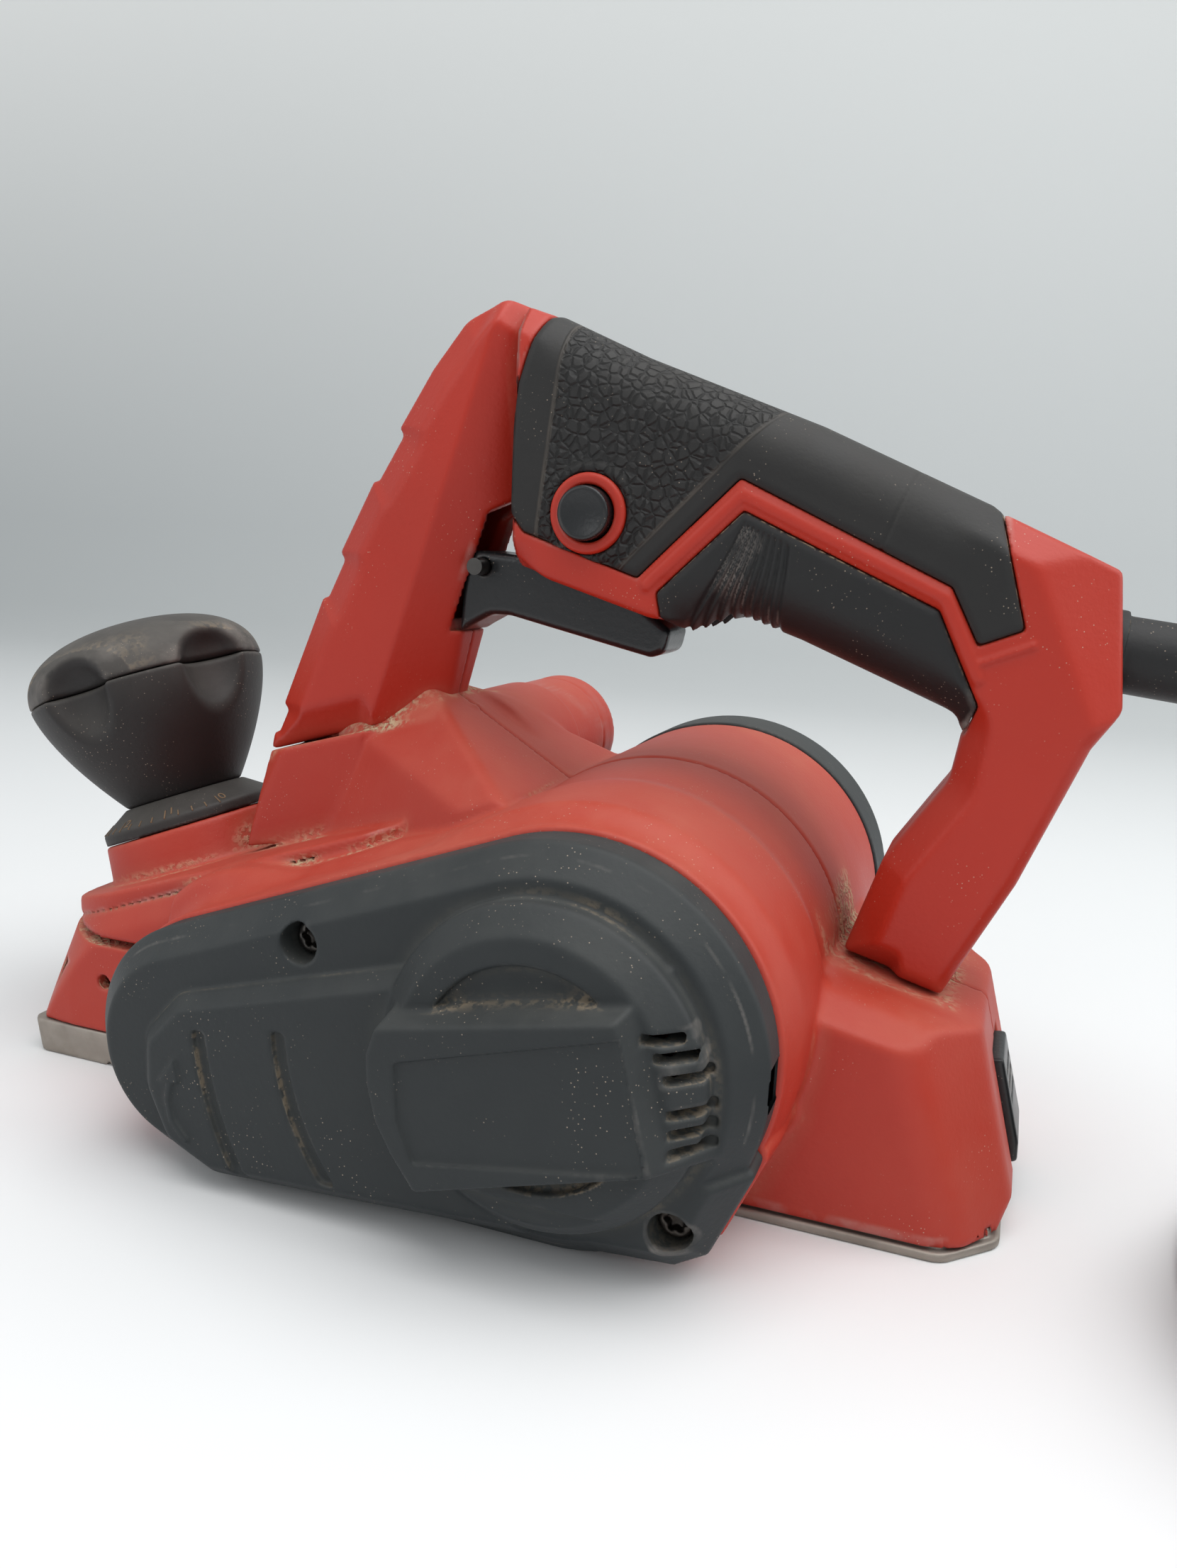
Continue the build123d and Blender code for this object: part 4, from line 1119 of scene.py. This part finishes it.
# ---- motor end cap and chip outlet ----
def end_cap_shape(X, Y, Z):
    r = radial(X, Z, MOTOR_X, BARREL_Z)
    low, high = node_box("motor_end_cap")
    deep = low[1] - Y
    shape = bevel(r - BARREL_R - 0.55, deep, 1.5, 0.7)
    shape = meet(shape, Y - high[1], 0.4)
    shape = cut(shape, meet(r - 35, low[1] + 1.2 - 40 - Y), 0.2)
    rib = np.abs(r - 36.4) - 0.9
    shape = cut(shape, meet(rib, -(deep + 1.1), 0.2), 0.4)
    for k in range(-4, 5):
        middle = MOTOR_X + 6 * k
        slot = meet(slab(X, middle - 1.4, middle + 1.4), slab(np.abs(Z - MOTOR_Z), 17, 29.5), 1.0)
        shape = cut(shape, meet(slot, Y - low[1] - 9), 0.4)
    inner = meet(r - 41, low[1] + 3.5 - Y)
    shape = cut(shape, np.maximum(inner, 14.5 - r), 0.0)
    return meet(cut(shape, meet(radial(X, Z, MOTOR_X, MOTOR_Z) - 11.1, low[1] + 3 - Y)), 4.6 - Z, 0.3)


def outlet_shape(X, Y, Z):
    r = radial(X, Z, OUTLET_X, OUTLET_Z)
    low, high = node_box("chip_outlet")
    tube = meet(r - 17.1, slab(Y, low[1], high[1]), 0.5)
    bead = meet(r - 17.2, slab(Y, low[1] + 1.0, low[1] + 4.0), 0.3)
    neck = meet(np.abs(r - 17.3) - 0.5, slab(Y, low[1] + 9, low[1] + 10.2), 0.2)
    return cut(cut(np.minimum(tube, bead), r - 15.0, 0.5), neck, 0.3)


def make_far_side():
    low, high = node_box("motor_end_cap")
    solid("motor_end_cap_moulded", end_cap_shape, low, high, 0.65, MATERIAL["slate"], "root",
          ["motor_end_cap"])
    low, high = node_box("chip_outlet")
    solid("chip_outlet_moulded", outlet_shape, low, high, 0.6, MATERIAL["red"], "root",
          ["chip_outlet"], near=housing_outer)


# ---- front shoe and soles ----
SHOE_FOOT = 9.0


def shoe_shape(X, Y, Z):
    shape = meet(meet(flank_shape(X, Y, Z), Z - 33.2, 0.4), slab(Z, SHOE_FOOT + 0.2, 40), 0.4)
    shape = meet(shape, 112 - X)
    rib = (X - 147.3 - 0.10 * (Z - 9)) * 0.99
    raised = meet(meet(rib, 1.4 - rib - 0.03 * (31 - Z), 0.3), meet(np.abs(Y) - 41, shape - 1.0), 0.4)
    shape = join(shape, raised, 0.3)
    shape = cut(shape, meet(meet(slab(X, 115, 157), np.abs(Y) - 37.0), slab(Z, 0, 25)), 0.2)
    pillar = meet(meet(slab(X, 116, 134), np.abs(Y) - 10), slab(Z, SHOE_FOOT + 0.2, 26))
    shape = np.minimum(shape, pillar)
    height, u, v = knob_frame(X, Y, Z)
    shape = cut(shape, np.maximum(np.sqrt(u**2 + v**2) - 5, height + 40), 0.1)
    shape = cut(shape, radial(X, Z, DRUM_X, DRUM_Z) - 30.6, 0.4)
    hole = meet(radial(X, Z, 137.6, 23.2) - 2.0, 37 - np.abs(Y))
    return cut(shape, hole, 0.3)


def front_sole_shape(X, Y, Z):
    low, high = node_box("front_sole")
    front = X - high[0] + 0.5 - 0.18 * Z
    corner = (front + np.abs(Y) - SOLE_HALF + 2.2) * 0.71
    shape = meet(meet(meet(front, low[0] - X), np.abs(Y) - SOLE_HALF, 0.5), corner, 0.8)
    shape = meet(shape, slab(Z, low[2], high[2]), 0.6)
    shape = meet(shape, ((X - high[0] + 2) * 0.6 - Z) * 0.8, 0.4)
    groove = meet(np.abs(X - 137) - 0.9 + 0.7 * Z, Z - 1.4)
    return cut(shape, groove, 0.2)


def rear_sole_shape(X, Y, Z):
    low, high = node_box("rear_sole")
    corner = (-X + np.abs(Y) + SOLE_REAR + 11 - SOLE_HALF) * math.sqrt(0.5)
    plan = meet(meet(slab(X, low[0], high[0]), np.abs(Y) - SOLE_HALF, 0.8), corner, 1.5)
    shape = meet(plan, slab(Z, low[2], 2.0), 0.5)
    upper = np.maximum(sole_room(X, Y, Z) + 0.25, np.maximum(plan, Z - high[2]))
    shape = np.minimum(shape, np.maximum(upper, 0.5 - Z))
    shape = cut(shape, meet(np.abs(Y) - 9.5, X + 77), 0.3)
    grooves = meet(meet(np.abs(np.abs(Y) - 14) - 1, slab(X, -60, 40), 0.3), Z - 1)
    return cut(shape, grooves, 0.2)


def make_soles():
    low, high = node_box("front_shoe")
    solid("front_shoe_moulded", shoe_shape, low, high, 0.6, MATERIAL["red"], "shoe",
          ["front_shoe"], near=housing_outer)
    low, high = node_box("front_sole")
    high = (high[0] + 1.5, high[1], high[2])
    solid("front_sole_cast", front_sole_shape, low, high, 0.6, MATERIAL["sole"], "shoe",
          ["front_sole"])
    low, high = node_box("rear_sole")
    solid("rear_sole_cast", rear_sole_shape, low, high, 0.6, MATERIAL["sole"], "root",
          ["rear_sole"])


# ---- depth knob ----
KNOB_R, CAP_TOP = 32.0, 17.0
FIRST_HOLLOW, HOLLOWS = 22.0, 5


def finger_hollows(height, u, v):
    tool = None
    tall = np.where(height > -1, 11.5, 21.0)
    for k in range(HOLLOWS):
        a = math.radians(FIRST_HOLLOW + 360 / HOLLOWS * k)
        cu, cv = 37.0 * math.cos(a), 37.0 * math.sin(a)
        one = (np.sqrt(((u - cu) / 11.5) ** 2 + ((v - cv) / 11.5) ** 2 + ((height + 1) / tall) ** 2) - 1) * 10
        tool = one if tool is None else np.minimum(tool, one)
    return tool


def knob_body_shape(X, Y, Z):
    height, u, v = knob_frame(X, Y, Z)
    rho = np.sqrt(u**2 + v**2)
    t = np.clip((height + 33) / 33, 0, 1)
    side = (rho - 15.8 - (KNOB_R - 15.8) * (1 - (1 - t) ** 1.5)) * 0.88
    shape = meet(side, slab(height, -33, -0.12), 0.5)
    shape = cut(shape, finger_hollows(height, u, v), 1.4)
    return cut(shape, meet(rho - 4.05, height + 12), 0.1)


def knob_cap_shape(X, Y, Z):
    height, u, v = knob_frame(X, Y, Z)
    rho = np.sqrt(u**2 + v**2)
    lifted = np.maximum(height, 0) / CAP_TOP
    dome = ((np.abs(rho / KNOB_R) ** 2.35 + lifted**2.35) ** (1 / 2.35) - 1) * 17
    shape = meet(dome, 0.12 - height, 0.5)
    return cut(shape, finger_hollows(height, u, v), 1.4)


def ring_cone_shape(X, Y, Z):
    height, u, v = knob_frame(X, Y, Z)
    rho = np.sqrt(u**2 + v**2)
    cone = (rho - 16.4 - (-33.0 - height) * 1.45) * 0.57
    shape = meet(meet(cone, rho - 24.2, 0.5), slab(height, -41.3, -33.05), 0.2)
    return cut(shape, rho - 4.05, 0.1)


def knob_point(height, angle, radius):
    """A place on the knob, in metres."""
    across = Vector((KNOB_AXIS.z, 0, -KNOB_AXIS.x))
    out = across * math.cos(angle) + Vector((0, 1, 0)) * math.sin(angle)
    centre = Vector((KNOB_X, 0, KNOB_Z)) + KNOB_AXIS * height
    return (centre + out * radius) * MM, out


def make_scale_marks():
    """Ticks and numbers inlaid on the slope of the scale ring."""
    slope = Vector((1.45, 1.0)).normalized()
    mesh = bpy.data.meshes.new("scale_ticks")
    verts, faces = [], []
    for k in range(0, 32):
        angle = math.radians(150 - 9.0 * k)
        long = 3.4 if k % 4 == 0 else 2.0
        ends = []
        for reach in (0.0, long):
            height, radius = -38.3 + reach * slope.y, 24.1 - reach * slope.x
            ends.append(knob_point(height, angle, min(radius, 24.3) if reach == 0 else radius))
        side = KNOB_AXIS.cross(ends[0][1]).normalized() * 0.00016
        rise = (KNOB_AXIS * slope.x + ends[0][1] * slope.y).normalized() * 0.00014
        base = len(verts)
        for place, _ in ends:
            for sign in (-1, 1):
                for lift in (-2, 1):
                    verts.append(place + side * sign + rise * lift)
        faces += [[base + i for i in f] for f in
                  ((0, 1, 3, 2), (4, 6, 7, 5), (0, 4, 5, 1), (2, 3, 7, 6), (1, 5, 7, 3), (0, 2, 6, 4))]
    mesh.from_pydata([tuple(v) for v in verts], [], faces)
    finished(bpy.data.objects.new("scale_ticks", mesh), MATERIAL["marks"], "knob")
    for number in range(4):
        curve = bpy.data.curves.new(f"scale_number_{number}", "FONT")
        curve.body = str(number)
        curve.size = 0.0040
        curve.extrude = 0.00012
        curve.align_x = "CENTER"
        obj = bpy.data.objects.new(f"scale_number_{number}", curve)
        angle = math.radians(150 - 36.0 * number + 4.5)
        place, out = knob_point(-37.6, angle, 23.1)
        face = (KNOB_AXIS * slope.x + out * slope.y).normalized()
        right = (KNOB_AXIS.cross(out)).normalized()
        up = face.cross(right).normalized()
        obj.matrix_world = Matrix([[right[i], up[i], face[i], place[i]] for i in range(3)] + [[0, 0, 0, 1]])
        finished(obj, MATERIAL["marks"], "knob")


def make_knob():
    for name, shape, node, skin, slot in (
        ("knob_body_moulded", knob_body_shape, "knob_body", "knob", "grip_rubber"),
        ("knob_cap_moulded", knob_cap_shape, "knob_cap", "knob", "grip_rubber"),
        ("depth_scale_moulded", ring_cone_shape, "depth_scale_ring", "knob", "black_plastic"),
    ):
        low, high = node_box(node)
        low, high = [c - 0.6 for c in low], [c + 0.6 for c in high]
        solid(name, shape, low, high, 0.5, MATERIAL[skin], "knob", [node])
    make_scale_marks()


# ---- parking foot ----
def foot_shape(X, Y, Z):
    leg = outline([(-88.2, 9.5), (-88, 14), (-82.9, 33), (-79, 32.4), (-78.5, 12), (-84, 8)], X, Z, 1.0)
    shape = meet(leg, np.abs(Y) - 9, 0.8)
    for k in range(3):
        groove = meet(slab(Z, 22 + 3 * k, 23.2 + 3 * k), np.abs(Y) - 6.5)
        shape = cut(shape, meet(groove, -(leg + 0.8)), 0.3)
    return cut(shape, radial(X, Z, -81.5, 12) - 1.55, 0.2)


def make_foot():
    low, high = node_box("parking_foot")
    solid("parking_foot_moulded", foot_shape, low, high, 0.4, MATERIAL["black"], "foot",
          ["parking_foot"])


# ---- what stays as the frame has it ----
def finish_frame_nodes():
    slots = {row["node"]: row["material_slot"] for row in frame["record"]["subparts"]}
    for name, node in frame["nodes"].items():
        if not node.hide_render:
            node.data.materials.clear()
            node.data.materials.append(MATERIAL[SLOT_MATERIAL[slots[name]]])


MATERIAL["marks"] = simple("scale_inlay", (0.20, 0.125, 0.07), 0.6)
make_camera()
make_cord_pieces()
make_stage()
make_light()
make_housing()
make_handle()
make_pads()
make_trigger()
make_button()
make_belt_cover()
make_far_side()
make_soles()
make_knob()
make_foot()
finish_frame_nodes()
